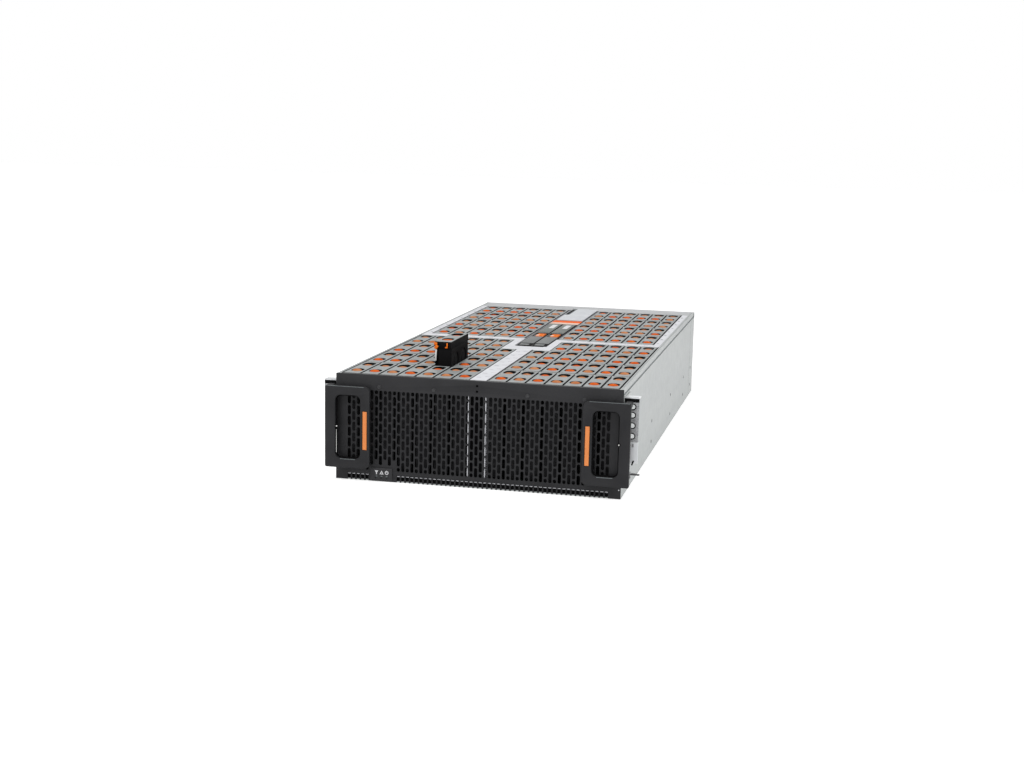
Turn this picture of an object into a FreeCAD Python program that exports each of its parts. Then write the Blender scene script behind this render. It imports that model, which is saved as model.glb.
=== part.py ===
"""Four-unit, top-loading disk shelf enclosure with its two top covers taken off.

Millimetres. X runs across the rack, Y from front to back, Z up.
The origin is on the underside of the chassis, on its centre plane, at the
rack's mounting plane, which is the back face of the two rack flanges.
"""
import math
import os

import FreeCAD
import Part

V = FreeCAD.Vector

# Fits
SEAT = 0.3                  # gap between separate pieces that sit together
SLIDE_GAP = 0.5             # gap round a module that slides out
PIN_GAP = 0.05              # radial clearance of a pin in its hole

# Rack standard
RACK_HOLE_OUT = 9.05        # side wall to the column of holes, 465.1 between the two columns
RACK_HOLE_RADIUS = 3.6
RACK_HOLE_DROP = 26.3       # top of the body to the top hole
RACK_HOLE_STEPS = (0.0, 12.7, 28.575, 44.45)

# Chassis
BODY_WIDTH = 447.0
BODY_HEIGHT = 166.0         # without the top covers
BODY_DEPTH = 975.0          # front panel to rear panel
FRONT_Y = -12.0             # front of the front panel
WALL = 1.5
STEP_DROP = 9.5             # the side walls step inward below the top to take the covers
FLANGE = 4.0
STRIP_SHEET = 1.2           # inner sheet metal
RAIL_HOLES = (639.0, 378.0, 168.0, 43.0)    # from the back of the rear panel
RAIL_HOLE_Z = 38.0          # middle of each pair
RAIL_HOLE_SPACING = 36.0
RAIL_HOLE_RADIUS = 2.2

# Drive bays
BAY_MARGIN = 7.48           # last column of the front bank to the side of the body
BANK_ROWS = 4
FRONT_COLUMNS = 7           # on each side of the centre
REAR_COLUMNS = 6
FRONT_HALF = 14.0           # centre plane to the first front column
REAR_HALF = 30.2            # centre plane to the first rear column
FRONT_BANK_Y = -4.0
CROSS_BEAM = 24.0           # between the two banks
DRIVE_SIDE_GAP = 0.98       # drive to the edge of its bay
DRIVE_END_GAP = 1.0
DRIVE_BASE_Z = 16.0
POCKET_WIDTH = 18.4
POCKET_LENGTH = 24.0
POCKET_DEPTH = 9.0
POCKET_OFFSET = 27.5        # from the ends of a bay
BOARD_Z = 8.0
BOARD_THICKNESS = 2.4
CONNECTOR_LENGTH = 60.0
CONNECTOR_INSET = 6.0       # bay side to the end of a row of connectors
GUIDE_SHEET = 0.8
GUIDE_DROP = 16.0           # top of the body to the top of the guides
STANDOFF_RADIUS = 4.0
STANDOFF_INSET = 14.0

# The drive that stands out of its bay
LIFT = 39.0
LIFT_COLUMN = 2             # counted from the centre
LIFT_ROW = 1                # counted from the front
DISK_SIDE_GAP = 0.4         # disk to the carrier's sides
DISK_END_ROOM = 5.0
CARRIER_SIDE = 1.7
CAP_THICKNESS = 12.0
DIMPLE_RADIUS = 13.0
DIMPLE_DEPTH = 0.7
DIMPLE_ROWS = 3
LATCH_WIDTH = 12.0
LATCH_THICKNESS = 2.4
LATCH_HOOK = 1.8            # how far the hook stands out in front
LATCH_COVER = 1.2           # cap above the latch
DRIVE_PIN_RADIUS = 1.5
DRIVE_PIN_BACK = 4.0        # front finger hole to the pin
DRIVE_PIN_DEPTH = 5.0
LEAF_THICKNESS = 0.4
LEAF_HEIGHT = 16.0
LEAF_WIDTH = 8.0
LEAF_DROP = 6.0             # underside of the cap to the top of the leaf
LEAF_INSET = 6.0

# Front grille
SLOT_WIDTH = 4.8
SLOT_WEB = 2.63             # metal between two slots of a column
SHORT_SLOT = 6.0
SLOT_DROP = 23.8            # top of the body to the top of the slots
SLOT_BOTTOM_Z = 17.0
SLOTS_PER_COLUMN = 7
SLOTS_PER_BAY = 4           # columns of slots to one column of drives
VENT_TOP = 11.0             # the bottom vents are open below
PANEL_SCREWS = (-0.689, -0.302, 0.349, 0.738)   # shares of half the width
PANEL_SCREW_DROP = 18.0
SCREW_RADIUS = 3.0
SCREW_HEAD = 1.0
STATUS_INSET = 56.5         # from the left side of the body
STATUS_WIDTH = 35.0
STATUS_Z = 1.0
STATUS_TOP = 21.4
STATUS_PROUD = 1.8
LIGHT_RADIUS = 1.1
LIGHT_SPACING = 9.0
LIGHT_Z = 6.0

# Ear handles and their triggers
EAR_FRONT_Y = -26.0
EAR_DEPTH = 6.5
EAR_INSET = 58.0            # side of the body inwards
EAR_OVERHANG = 13.5         # side of the body outwards
EAR_BOTTOM = 20.5
EAR_DROP = 17.5             # top of the body to the top of the ear
EAR_INNER_RADIUS = 9.0
EAR_OUTER_RADIUS = 2.5
EAR_WEB = 3.4               # outer wall that reaches back to the rack flange
EAR_GRIP = 14.5             # width of the ear's inner side
EAR_RAIL = 16.5             # width of its outer side
WINDOW_RISE = 14.7          # ear's lower edge to the window
WINDOW_DROP = 13.9          # ear's upper edge to the window
WINDOW_RADIUS = 9.0
TRIGGER_INSET = 7.3         # ear's inner edge to the middle of the trigger
TRIGGER_WIDTH = 6.4
TRIGGER_RISE = 30.3
TRIGGER_DROP = 38.3
TRIGGER_PROUD = 0.5
TRIGGER_FLANGE = 1.4        # width and thickness of the rim that keeps it in
TRIGGER_TRAVEL = 3.5

# Rack brackets and slam hooks
BRACKET_SHEET = 2.0
FLANGE_OUT = 22.0           # side of the body to the flange's outer edge
BRACKET_BOTTOM = 54.0
BRACKET_DROP = 12.0
BRACKET_LENGTH = 46.0
LIP_OUT = 22.5
LIP_LENGTH = 30.0
HOOK_Z = 30.0
HOOK_THICKNESS = 5.0
HOOK_OUT = 23.3             # side of the body to the hook's nose
HOOK_PIN_OUT = 6.5
HOOK_PIN_Y = 9.0
HOOK_PIN_RADIUS = 1.8
HOOK_BARREL = 4.2
HOOK_ARM = 12.0
HOOK_NOSE = 6.0             # depth of the nose behind the rack post
HOOK_FOOT = 22.0            # height of the pivot bracket

# Centre modules
MODULE_INSET = 42.0         # start of the short row to the modules
MODULE_WIDTH = 26.0
MODULE_GAP = 0.5            # from the centre plane
MODULE_BASE_GAP = 0.3        # above the baseboards
MODULE_DROP = 0.8           # top of the body to the top of the modules
RECESS_OFFSET = 37.0        # start of the rear bank to the recess
RECESS_LENGTH = 44.0
RECESS_DEPTH = 16.0
RECESS_WALL = 1.6
LEVER_WIDTH = 12.0
LEVER_LENGTH = 32.0
LEVER_THICKNESS = 2.6
LEVER_PIN_RADIUS = 1.6
LEVER_BARREL = 3.4
BAIL_WIRE = 1.8
BAY_WALL_X = 28.6           # inner face of the module bay's side walls
STRAP_GAP = 6.0             # modules to the strap
STRAP_WIDTH = 48.0
STRAP_THICKNESS = 2.0
STRAP_LEG = 20.0
COVER_GAP = 3.0             # strap to the cover
COVER_OVERLAP = 23.0        # how far the cover reaches over the rear deck
COVER_HALF = 26.0
COVER_SKIRT = 24.0
COVER_SLOT = 96.0
COVER_SLOT_WIDTH = 3.4

# Rear modules
FAN_COUNT = 4
FAN_MARGIN = 7.5            # side of the body to the outer fan's share of the width
FAN_SPACE = 8.0             # between two fan modules
FAN_BOTTOM = 68.0
FAN_DROP = 16.0             # top of the body to the top of the fan modules
FAN_INSET = 5.0             # end of the rear bank to the fan modules
FAN_LENGTH = 104.0
DUCT_WALL = 3.0
STRUT = 3.0                 # thickness of the bars that carry the motor
STRUT_COUNT = 3
HUB_RADIUS = 16.0
HUB_LENGTH = 22.0
SHAFT_RADIUS = 2.5
BLADES = 5
BLADE_THICKNESS = 2.0
BLADE_ANGLE = 40.0
TIP_GAP = 1.0
SHELF_SHEET = 1.5
SUPPLY_MARGIN = 57.5        # side of the body to the middle of a power supply
SUPPLY_WIDTH = 86.0
SUPPLY_HEIGHT = 54.0
SUPPLY_INSET = 4.0          # end of the rear bank to the power supplies
SUPPLY_LENGTH = 100.0
INLET_WIDTH = 27.4
INLET_HEIGHT = 20.0
INLET_DEPTH = 16.0
EXHAUST_RADIUS = 16.0
EXHAUST_DEPTH = 8.0
GRIP_REACH = 18.0           # how far the loops stand out behind the modules
GRIP_BAR = 5.0
GRIP_HEIGHT = 38.0
CATCH_WIDTH = 8.0
CATCH_LENGTH = 12.0
CATCH_THICKNESS = 2.0
CATCH_PIN_RADIUS = 1.2
PORTS_PER_SIDE = 4
PORT_PITCH = 22.0
PORT_WIDTH = 18.0
PORT_HEIGHT = 8.4
PORT_Z = 30.0
PORT_DEPTH = 14.0
PORT_WALL = 1.0
PORT_FIRST_X = 16.0
REAR_ROOM = 63.0            # end of the rear bank to the back of the rear panel

# Places that follow from the sizes above
SIDE = BODY_WIDTH / 2
STEP_Z = BODY_HEIGHT - STEP_DROP
LIP_X = SIDE - 2 * WALL             # inner face of the side walls above the step
FLANGE_X = LIP_X - FLANGE           # inner edge of the side walls' top flanges
COLUMN_PITCH = (SIDE - FRONT_HALF - BAY_MARGIN) / FRONT_COLUMNS
BACK_Y = FRONT_Y + BODY_DEPTH       # back of the rear panel
REAR_BANK_END = BACK_Y - REAR_ROOM
ROW_PITCH = (REAR_BANK_END - FRONT_BANK_Y - CROSS_BEAM) / (2 * BANK_ROWS)
REAR_BANK_Y = REAR_BANK_END - BANK_ROWS * ROW_PITCH
SHORT_ROW_Y = FRONT_BANK_Y + (BANK_ROWS - 1) * ROW_PITCH
SHORT_ROW_HALF = FRONT_HALF + COLUMN_PITCH
REAR_SIDE_X = REAR_HALF + REAR_COLUMNS * COLUMN_PITCH
BOARD_TOP = BOARD_Z + BOARD_THICKNESS
DRIVE_WIDTH = COLUMN_PITCH - 2 * DRIVE_SIDE_GAP
DRIVE_LENGTH = ROW_PITCH - 2 * DRIVE_END_GAP
DISK_WIDTH = DRIVE_WIDTH - 2 * (CARRIER_SIDE + DISK_SIDE_GAP)
DISK_LENGTH = DRIVE_LENGTH - 2 * DISK_END_ROOM
DISK_HEIGHT = BODY_HEIGHT - DRIVE_BASE_Z - CAP_THICKNESS
PANEL_BACK_Y = FRONT_Y + WALL
SLOT_PITCH_X = COLUMN_PITCH / SLOTS_PER_BAY
SLOT_COLUMNS = FRONT_COLUMNS * SLOTS_PER_BAY    # on each side of the middle column
SLOT_TOP_Z = BODY_HEIGHT - SLOT_DROP
SLOT_PITCH_Z = (SLOT_TOP_Z - SLOT_BOTTOM_Z - SHORT_SLOT) / SLOTS_PER_COLUMN
SLOT_HEIGHT = SLOT_PITCH_Z - SLOT_WEB
PANEL_SCREW_Z = BODY_HEIGHT - PANEL_SCREW_DROP
STATUS_LEFT = STATUS_INSET - SIDE
EAR_BACK_Y = EAR_FRONT_Y + EAR_DEPTH
EAR_INNER_X = SIDE - EAR_INSET
EAR_OUTER_X = SIDE + EAR_OVERHANG
EAR_TOP = BODY_HEIGHT - EAR_DROP
WINDOW_INNER_X = EAR_INNER_X + EAR_GRIP
WINDOW_OUTER_X = EAR_OUTER_X - EAR_RAIL
WINDOW_BOTTOM = EAR_BOTTOM + WINDOW_RISE
WINDOW_TOP = EAR_TOP - WINDOW_DROP
TRIGGER_X = EAR_INNER_X + TRIGGER_INSET
TRIGGER_BOTTOM = EAR_BOTTOM + TRIGGER_RISE
TRIGGER_TOP = EAR_TOP - TRIGGER_DROP
RACK_HOLE_X = SIDE + RACK_HOLE_OUT
RACK_TOP_HOLE = BODY_HEIGHT - RACK_HOLE_DROP
FLANGE_EDGE_X = SIDE + FLANGE_OUT
BRACKET_TOP = BODY_HEIGHT - BRACKET_DROP
LIP_EDGE_X = SIDE + LIP_OUT
HOOK_REACH_X = SIDE + HOOK_OUT
HOOK_PIN_X = SIDE + HOOK_PIN_OUT
HOOK_TOP = HOOK_Z + HOOK_THICKNESS
MODULE_FRONT_Y = SHORT_ROW_Y + MODULE_INSET
MODULE_BACK_Y = REAR_BANK_Y + 2 * (ROW_PITCH - DRIVE_END_GAP)
MODULE_BASE_Z = BOARD_TOP + MODULE_BASE_GAP
MODULE_TOP_Z = BODY_HEIGHT - MODULE_DROP
RECESS_Y = REAR_BANK_Y + RECESS_OFFSET
LEVER_PIN_Y = RECESS_Y + RECESS_LENGTH - LEVER_BARREL - SLIDE_GAP
LEVER_PIN_Z = MODULE_TOP_Z - LEVER_BARREL
STRAP_Y = MODULE_BACK_Y + STRAP_GAP
COVER_Y = STRAP_Y + STRAP_WIDTH + COVER_GAP
COVER_END = REAR_BANK_END + COVER_OVERLAP
FAN_PITCH = (BODY_WIDTH - 2 * FAN_MARGIN) / FAN_COUNT
FAN_WIDTH = FAN_PITCH - FAN_SPACE
FAN_HEIGHT = BODY_HEIGHT - FAN_DROP - FAN_BOTTOM
FAN_INNER_Y = REAR_BANK_END + FAN_INSET
FAN_BACK_Y = FAN_INNER_Y + FAN_LENGTH
DUCT_RADIUS = FAN_HEIGHT / 2 - DUCT_WALL
SUPPLY_X = SIDE - SUPPLY_MARGIN
SUPPLY_INNER_Y = REAR_BANK_END + SUPPLY_INSET
SUPPLY_BACK_Y = SUPPLY_INNER_Y + SUPPLY_LENGTH


# ---------------------------------------------------------------- helpers
def block(x, y, z):
    """Box from three pairs of limits, in any order."""
    low = V(min(x), min(y), min(z))
    return Part.makeBox(abs(x[1] - x[0]), abs(y[1] - y[0]), abs(z[1] - z[0]), low)


def rod(radius, start, end):
    axis = V(*end) - V(*start)
    return Part.makeCylinder(radius, axis.Length, V(*start), axis)


def mirrored(shape):
    return shape.mirror(V(0, 0, 0), V(1, 0, 0))


def fused(shapes):
    return shapes[0].multiFuse(shapes[1:]).removeSplitter()


def ring(radius, x, y, z, sides=8):
    """Corners of an upright regular polygon across Y, closed."""
    turn = 2 * math.pi / sides
    return [V(x + radius * math.cos((k + 0.5) * turn), y, z + radius * math.sin((k + 0.5) * turn))
            for k in range(sides + 1)]


def rounded(x, z, y, radii):
    """Rounded rectangle in the plane at y. The radii start at low x, low z, anticlockwise."""
    corners = [V(x[0], y, z[0]), V(x[1], y, z[0]), V(x[1], y, z[1]), V(x[0], y, z[1])]
    edges = []
    points = []
    for index, (corner, radius) in enumerate(zip(corners, radii)):
        back = (corners[index - 1] - corner).normalize()
        ahead = (corners[(index + 1) % 4] - corner).normalize()
        centre = corner + (back + ahead) * radius
        middle = centre - (back + ahead).normalize() * radius
        points.append((corner + back * radius, corner + ahead * radius))
        edges.append(Part.Arc(points[-1][0], middle, points[-1][1]).toShape())
    for index in range(4):
        edges.append(Part.makeLine(points[index][1], points[(index + 1) % 4][0]))
    return Part.Wire(Part.__sortEdges__(edges))


def rectangle(x, z, y):
    """Closed rectangular wire in the plane at y, anticlockwise seen from the front."""
    corners = [(x[0], z[0]), (x[1], z[0]), (x[1], z[1]), (x[0], z[1]), (x[0], z[0])]
    return Part.makePolygon([V(px, y, pz) for px, pz in corners])


def prism(outline, y0, y1):
    """Extrudes a closed wire along Y."""
    return Part.Face(outline).extrude(V(0, y1 - y0, 0))


def turned(shape, angle, centre, axis):
    """A copy turned about an axis through a point, in degrees."""
    copy = shape.copy()
    copy.rotate(V(*centre), V(*axis), angle)
    return copy


# ---------------------------------------------------------------- chassis
def chassis_pan():
    """Floor and side walls folded from one sheet, stepped at the top for the covers."""
    y = (PANEL_BACK_Y, BACK_Y - WALL)
    parts = [block((-SIDE, SIDE), y, (0, WALL))]
    for side in (-1, 1):
        parts += [
            block((side * SIDE, side * (SIDE - WALL)), y, (0, STEP_Z)),
            block((side * SIDE, side * LIP_X), y, (STEP_Z - WALL, STEP_Z)),
            block((side * (SIDE - WALL), side * LIP_X), y, (STEP_Z - WALL, BODY_HEIGHT)),
            block((side * (SIDE - WALL), side * FLANGE_X), y, (BODY_HEIGHT - WALL, BODY_HEIGHT)),
        ]
    holes = []
    for distance in RAIL_HOLES:
        for offset in (-RAIL_HOLE_SPACING / 2, RAIL_HOLE_SPACING / 2):
            height = RAIL_HOLE_Z + offset
            ends = (-SIDE - WALL, BACK_Y - distance, height), (SIDE + WALL, BACK_Y - distance, height)
            holes.append(rod(RAIL_HOLE_RADIUS, *ends))
    return fused(parts).cut(holes)


def slot_spans(index):
    """Heights of the slots in one column of the grille. Odd columns are half a pitch lower."""
    even = index % 2 == 0
    top = SLOT_TOP_Z - (SHORT_SLOT + SLOT_WEB if even else 0)
    spans = [(top - row * SLOT_PITCH_Z - SLOT_HEIGHT, top - row * SLOT_PITCH_Z)
             for row in range(SLOTS_PER_COLUMN)]
    low = SLOT_TOP_Z - SHORT_SLOT if even else SLOT_BOTTOM_Z
    spans.append((low, low + SHORT_SLOT))
    return spans


def front_panel():
    """Front sheet with the staggered intake slots, bottom vents open below and a top return."""
    status = (STATUS_LEFT - SLOT_WIDTH, STATUS_LEFT + STATUS_WIDTH + SLOT_WIDTH)
    holes = []
    edge = [(-SIDE, 0)]
    for index in range(-SLOT_COLUMNS, SLOT_COLUMNS + 1):
        x = index * SLOT_PITCH_X
        across = (x - SLOT_WIDTH / 2, x + SLOT_WIDTH / 2)
        over_status = status[0] < x < status[1]
        behind_grip = EAR_INNER_X - SLOT_WIDTH / 2 < abs(x) < WINDOW_INNER_X - SLOT_WIDTH / 2
        if not behind_grip:
            low = STATUS_TOP if over_status else 0
            holes += [rectangle(across, span, FRONT_Y) for span in slot_spans(index) if span[0] > low]
        if not over_status:
            edge += [(across[0], 0), (across[0], VENT_TOP), (across[1], VENT_TOP), (across[1], 0)]
    edge += [(SIDE, 0), (SIDE, BODY_HEIGHT), (-SIDE, BODY_HEIGHT), (-SIDE, 0)]
    outline = Part.makePolygon([V(x, FRONT_Y, z) for x, z in edge])
    face = Part.Face([outline] + [hole.reversed() for hole in holes])
    sheet = face.extrude(V(0, WALL, 0))
    return_x = FLANGE_X - SEAT
    top = (BODY_HEIGHT - WALL, BODY_HEIGHT)
    return fused([sheet, block((-return_x, return_x), (PANEL_BACK_Y, FRONT_BANK_Y - SEAT), top)])


def panel_screws():
    """Screw heads along the top of the front panel."""
    y = FRONT_Y - SCREW_HEAD
    return [prism(Part.makePolygon(ring(SCREW_RADIUS, share * SIDE, y, PANEL_SCREW_Z)), y, FRONT_Y)
            for share in PANEL_SCREWS]


def status_block():
    """Indicator block at the foot of the front panel, with a chamfered top edge."""
    x = (STATUS_LEFT, STATUS_LEFT + STATUS_WIDTH)
    body = block(x, (FRONT_Y, FRONT_Y - STATUS_PROUD), (STATUS_Z, STATUS_TOP))
    front_edges = [e for e in body.Edges if e.BoundBox.YMax < FRONT_Y - STATUS_PROUD / 2]
    body = body.makeChamfer(STATUS_PROUD / 3, front_edges)
    return body.cut(light_bars(LIGHT_RADIUS + PIN_GAP))


def light_bars(half):
    """Three square bars through the status block, of half a width."""
    middle = STATUS_LEFT + STATUS_WIDTH / 2
    centres = [middle + step * LIGHT_SPACING for step in (-1, 0, 1)]
    return [block((x - half, x + half), (FRONT_Y - STATUS_PROUD, FRONT_Y), (LIGHT_Z - half, LIGHT_Z + half))
            for x in centres]


def light_pipes():
    return light_bars(LIGHT_RADIUS)


def centre_channel():
    """Inverted channel between the two halves of the front bank."""
    half = FRONT_HALF - SEAT
    y = (FRONT_BANK_Y, SHORT_ROW_Y - SEAT)
    sheet = STRIP_SHEET
    return fused([
        block((-half, half), y, (BODY_HEIGHT - sheet, BODY_HEIGHT)),
        block((-half, sheet - half), y, (BOARD_TOP, BODY_HEIGHT)),
        block((half - sheet, half), y, (BOARD_TOP, BODY_HEIGHT)),
    ])


def module_bay():
    """Deck and side walls round the two centre modules."""
    half = SHORT_ROW_HALF - SEAT
    wall = (BAY_WALL_X, BAY_WALL_X + STRIP_SHEET)
    front = (SHORT_ROW_Y, MODULE_FRONT_Y - SLIDE_GAP)
    back = REAR_BANK_Y - CROSS_BEAM - SEAT
    deck = (BODY_HEIGHT - STRIP_SHEET, BODY_HEIGHT)
    parts = [
        block((-half, half), front, deck),
        block((-wall[1], wall[1]), (front[1] - STRIP_SHEET, front[1]), (BOARD_TOP, BODY_HEIGHT)),
    ]
    for side in (-1, 1):
        parts.append(block((side * wall[0], side * half), (front[1], back), deck))
        walls_y = (front[1] - STRIP_SHEET, REAR_BANK_END - SEAT)
        parts.append(block((side * wall[0], side * wall[1]), walls_y, (BOARD_TOP, BODY_HEIGHT)))
    return fused(parts)


def cross_beams():
    """Inverted channels between the front and rear banks, one on each side of the module bay."""
    x = (BAY_WALL_X + STRIP_SHEET + SEAT, FLANGE_X - SEAT)
    y = (REAR_BANK_Y - CROSS_BEAM, REAR_BANK_Y - SEAT)
    beam = fused([
        block(x, y, (BODY_HEIGHT - STRIP_SHEET, BODY_HEIGHT)),
        block(x, (y[0], y[0] + STRIP_SHEET), (BOARD_TOP, BODY_HEIGHT)),
        block(x, (y[1] - STRIP_SHEET, y[1]), (BOARD_TOP, BODY_HEIGHT)),
    ])
    return [beam, mirrored(beam)]


def side_channels():
    """Angles that fill the space between the rear bank and the side walls."""
    x = (REAR_SIDE_X + SEAT, FLANGE_X - SEAT)
    y = (REAR_BANK_Y, REAR_BANK_END - SEAT)
    angle = fused([
        block(x, y, (BODY_HEIGHT - STRIP_SHEET, BODY_HEIGHT)),
        block((x[0], x[0] + STRIP_SHEET), y, (BOARD_TOP, BODY_HEIGHT)),
    ])
    return [angle, mirrored(angle)]


def rear_deck():
    """Deck over the fan modules, with a front leg and a notch for the module cover."""
    x = FLANGE_X - SEAT
    y = (REAR_BANK_END, BACK_Y - WALL)
    deck = fused([
        block((-x, x), y, (BODY_HEIGHT - STRIP_SHEET, BODY_HEIGHT)),
        block((-x, x), (y[0], y[0] + STRIP_SHEET), (FAN_BOTTOM, BODY_HEIGHT)),
    ])
    notch = COVER_HALF + SEAT
    top = (BODY_HEIGHT - 2 * WALL, BODY_HEIGHT + 1)
    return deck.cut(block((-notch, notch), (y[0] - 1, COVER_END + SEAT), top))


def fan_x(index):
    return (index - (FAN_COUNT - 1) / 2) * FAN_PITCH


def rear_panel():
    """Rear sheet with openings for the fan modules, the power supplies and the ports."""
    y = (BACK_Y - WALL, BACK_Y)
    through = (y[0] - 1, y[1] + 1)
    openings = []
    for index in range(FAN_COUNT):
        half = FAN_WIDTH / 2 + SLIDE_GAP
        z = (FAN_BOTTOM - SEAT, FAN_BOTTOM + FAN_HEIGHT + SLIDE_GAP)
        openings.append(block((fan_x(index) - half, fan_x(index) + half), through, z))
    for side in (-1, 1):
        half = SUPPLY_WIDTH / 2 + SLIDE_GAP
        z = (WALL, WALL + SEAT + SUPPLY_HEIGHT + SLIDE_GAP)
        openings.append(block((side * SUPPLY_X - half, side * SUPPLY_X + half), through, z))
    for x in port_centres():
        z = (PORT_Z - PORT_HEIGHT / 2 - SEAT, PORT_Z + PORT_HEIGHT / 2 + SEAT)
        openings.append(block((x - PORT_WIDTH / 2 - SEAT, x + PORT_WIDTH / 2 + SEAT), through, z))
    sheet = block((-SIDE, SIDE), y, (0, BODY_HEIGHT))
    return sheet.cut(openings)


def port_centres():
    """Cable ports of the two centre modules, from the centre outwards on each side."""
    for side in (-1, 1):
        for index in range(PORTS_PER_SIDE):
            yield side * (PORT_FIRST_X + index * PORT_PITCH)


def port_shells():
    """Open metal shells of the cable ports."""
    shells = []
    for x in port_centres():
        half_width = PORT_WIDTH / 2
        half_height = PORT_HEIGHT / 2
        z = (PORT_Z - half_height, PORT_Z + half_height)
        shell = block((x - half_width, x + half_width), (BACK_Y - PORT_DEPTH, BACK_Y + PORT_WALL), z)
        inner_x = half_width - PORT_WALL
        inner_z = half_height - PORT_WALL
        mouth = block((x - inner_x, x + inner_x), (BACK_Y - PORT_DEPTH + PORT_WALL, BACK_Y + 2 * PORT_WALL),
                      (PORT_Z - inner_z, PORT_Z + inner_z))
        shells.append(shell.cut(mouth))
    return shells


def port_board():
    """Board behind the ports, on the floor of the chassis."""
    half = PORT_FIRST_X + (PORTS_PER_SIDE - 1) * PORT_PITCH + PORT_WIDTH / 2
    y = (BACK_Y - PORT_DEPTH - BOARD_THICKNESS, BACK_Y - PORT_DEPTH)
    return block((-half, half), y, (WALL, PORT_Z + PORT_HEIGHT))


def fan_shelf():
    """Shelf that carries the fan modules."""
    x = SIDE - WALL
    z = (FAN_BOTTOM - SEAT - SHELF_SHEET, FAN_BOTTOM - SEAT)
    return block((-x, x), (REAR_BANK_END, BACK_Y - WALL), z)


# ---------------------------------------------------------------- boards and guides
def baseboard(y):
    x = SIDE - WALL - SEAT
    return block((-x, x), y, (BOARD_Z, BOARD_TOP))


def standoffs():
    """Hexagonal posts between the floor and the two baseboards."""
    posts = []
    banks = (FRONT_BANK_Y, REAR_BANK_Y - CROSS_BEAM / 2), (REAR_BANK_Y, REAR_BANK_END)
    for start, end in banks:
        for x in (STANDOFF_INSET - SIDE, 0, SIDE - STANDOFF_INSET):
            for y in (start + STANDOFF_INSET, end - STANDOFF_INSET):
                corners = [V(x + STANDOFF_RADIUS * math.cos(k * math.pi / 3),
                             y + STANDOFF_RADIUS * math.sin(k * math.pi / 3), WALL) for k in range(7)]
                posts.append(Part.Face(Part.makePolygon(corners)).extrude(V(0, 0, BOARD_Z - WALL)))
    return posts


def bank_layout():
    """Front and rear banks: first y, columns on each side, distance to the first column."""
    return (FRONT_BANK_Y, FRONT_COLUMNS, FRONT_HALF), (REAR_BANK_Y, REAR_COLUMNS, REAR_HALF)


def connector_rows():
    """Drive connectors, joined into one strip for each row of bays on each side."""
    strips = []
    for bank_y, columns, half in bank_layout():
        for row in range(BANK_ROWS):
            short = half == FRONT_HALF and row == BANK_ROWS - 1
            first = half + COLUMN_PITCH if short else half
            x = (first + CONNECTOR_INSET, half + columns * COLUMN_PITCH - CONNECTOR_INSET)
            middle = bank_y + (row + 0.5) * ROW_PITCH
            y = (middle - CONNECTOR_LENGTH / 2, middle + CONNECTOR_LENGTH / 2)
            strip = block(x, y, (BOARD_TOP, DRIVE_BASE_Z - GUIDE_SHEET))
            strips += [strip, mirrored(strip)]
    return strips


def bay_guides():
    """Thin upright sheets between the columns, standing on the connector strips."""
    sheets = []
    for bank_y, columns, half in bank_layout():
        for column in range(1, columns):
            x = half + column * COLUMN_PITCH
            short = half == FRONT_HALF and column == 1
            rows = BANK_ROWS - 1 if short else BANK_ROWS
            y = (bank_y + DRIVE_END_GAP, bank_y + rows * ROW_PITCH - DRIVE_END_GAP)
            z = (DRIVE_BASE_Z - GUIDE_SHEET, BODY_HEIGHT - GUIDE_DROP)
            sheet = block((x - GUIDE_SHEET / 2, x + GUIDE_SHEET / 2), y, z)
            sheets += [sheet, mirrored(sheet)]
    return sheets


# ---------------------------------------------------------------- seated drives
def bay_corner(side, half, column):
    """Low and high x of a bay's drive."""
    centre = side * (half + (column + 0.5) * COLUMN_PITCH)
    return centre - DRIVE_WIDTH / 2, centre + DRIVE_WIDTH / 2


def finger_pockets(x, y, top):
    """The two finger holes in the top of a drive."""
    middle = (x[0] + x[1]) / 2
    pockets = []
    for centre in (y[0] - DRIVE_END_GAP + POCKET_OFFSET, y[1] + DRIVE_END_GAP - POCKET_OFFSET):
        pockets.append(block((middle - POCKET_WIDTH / 2, middle + POCKET_WIDTH / 2),
                             (centre - POCKET_LENGTH / 2, centre + POCKET_LENGTH / 2),
                             (top - POCKET_DEPTH, top + 1)))
    return pockets


def seated_drives(side, bank):
    """Drives in their carriers, seated in one half of one bank."""
    bank_y, columns, half = bank_layout()[bank]
    drives = []
    for row in range(BANK_ROWS):
        y = (bank_y + row * ROW_PITCH + DRIVE_END_GAP, bank_y + (row + 1) * ROW_PITCH - DRIVE_END_GAP)
        for column in range(columns):
            taken = bank == 0 and row == BANK_ROWS - 1 and column == 0
            lifted = bank == 0 and side < 0 and (column, row) == (LIFT_COLUMN, LIFT_ROW)
            if taken or lifted:
                continue
            x = bay_corner(side, half, column)
            body = block(x, y, (DRIVE_BASE_Z, BODY_HEIGHT))
            drives.append(body.cut(finger_pockets(x, y, BODY_HEIGHT)))
    return drives


# ---------------------------------------------------------------- the drive that stands out
def lifted_bay():
    """Limits in x, y and z of the drive that stands out of its bay."""
    x = bay_corner(-1, FRONT_HALF, LIFT_COLUMN)
    start = FRONT_BANK_Y + LIFT_ROW * ROW_PITCH
    y = (start + DRIVE_END_GAP, start + ROW_PITCH - DRIVE_END_GAP)
    return x, y, (DRIVE_BASE_Z + LIFT, BODY_HEIGHT + LIFT)


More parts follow.
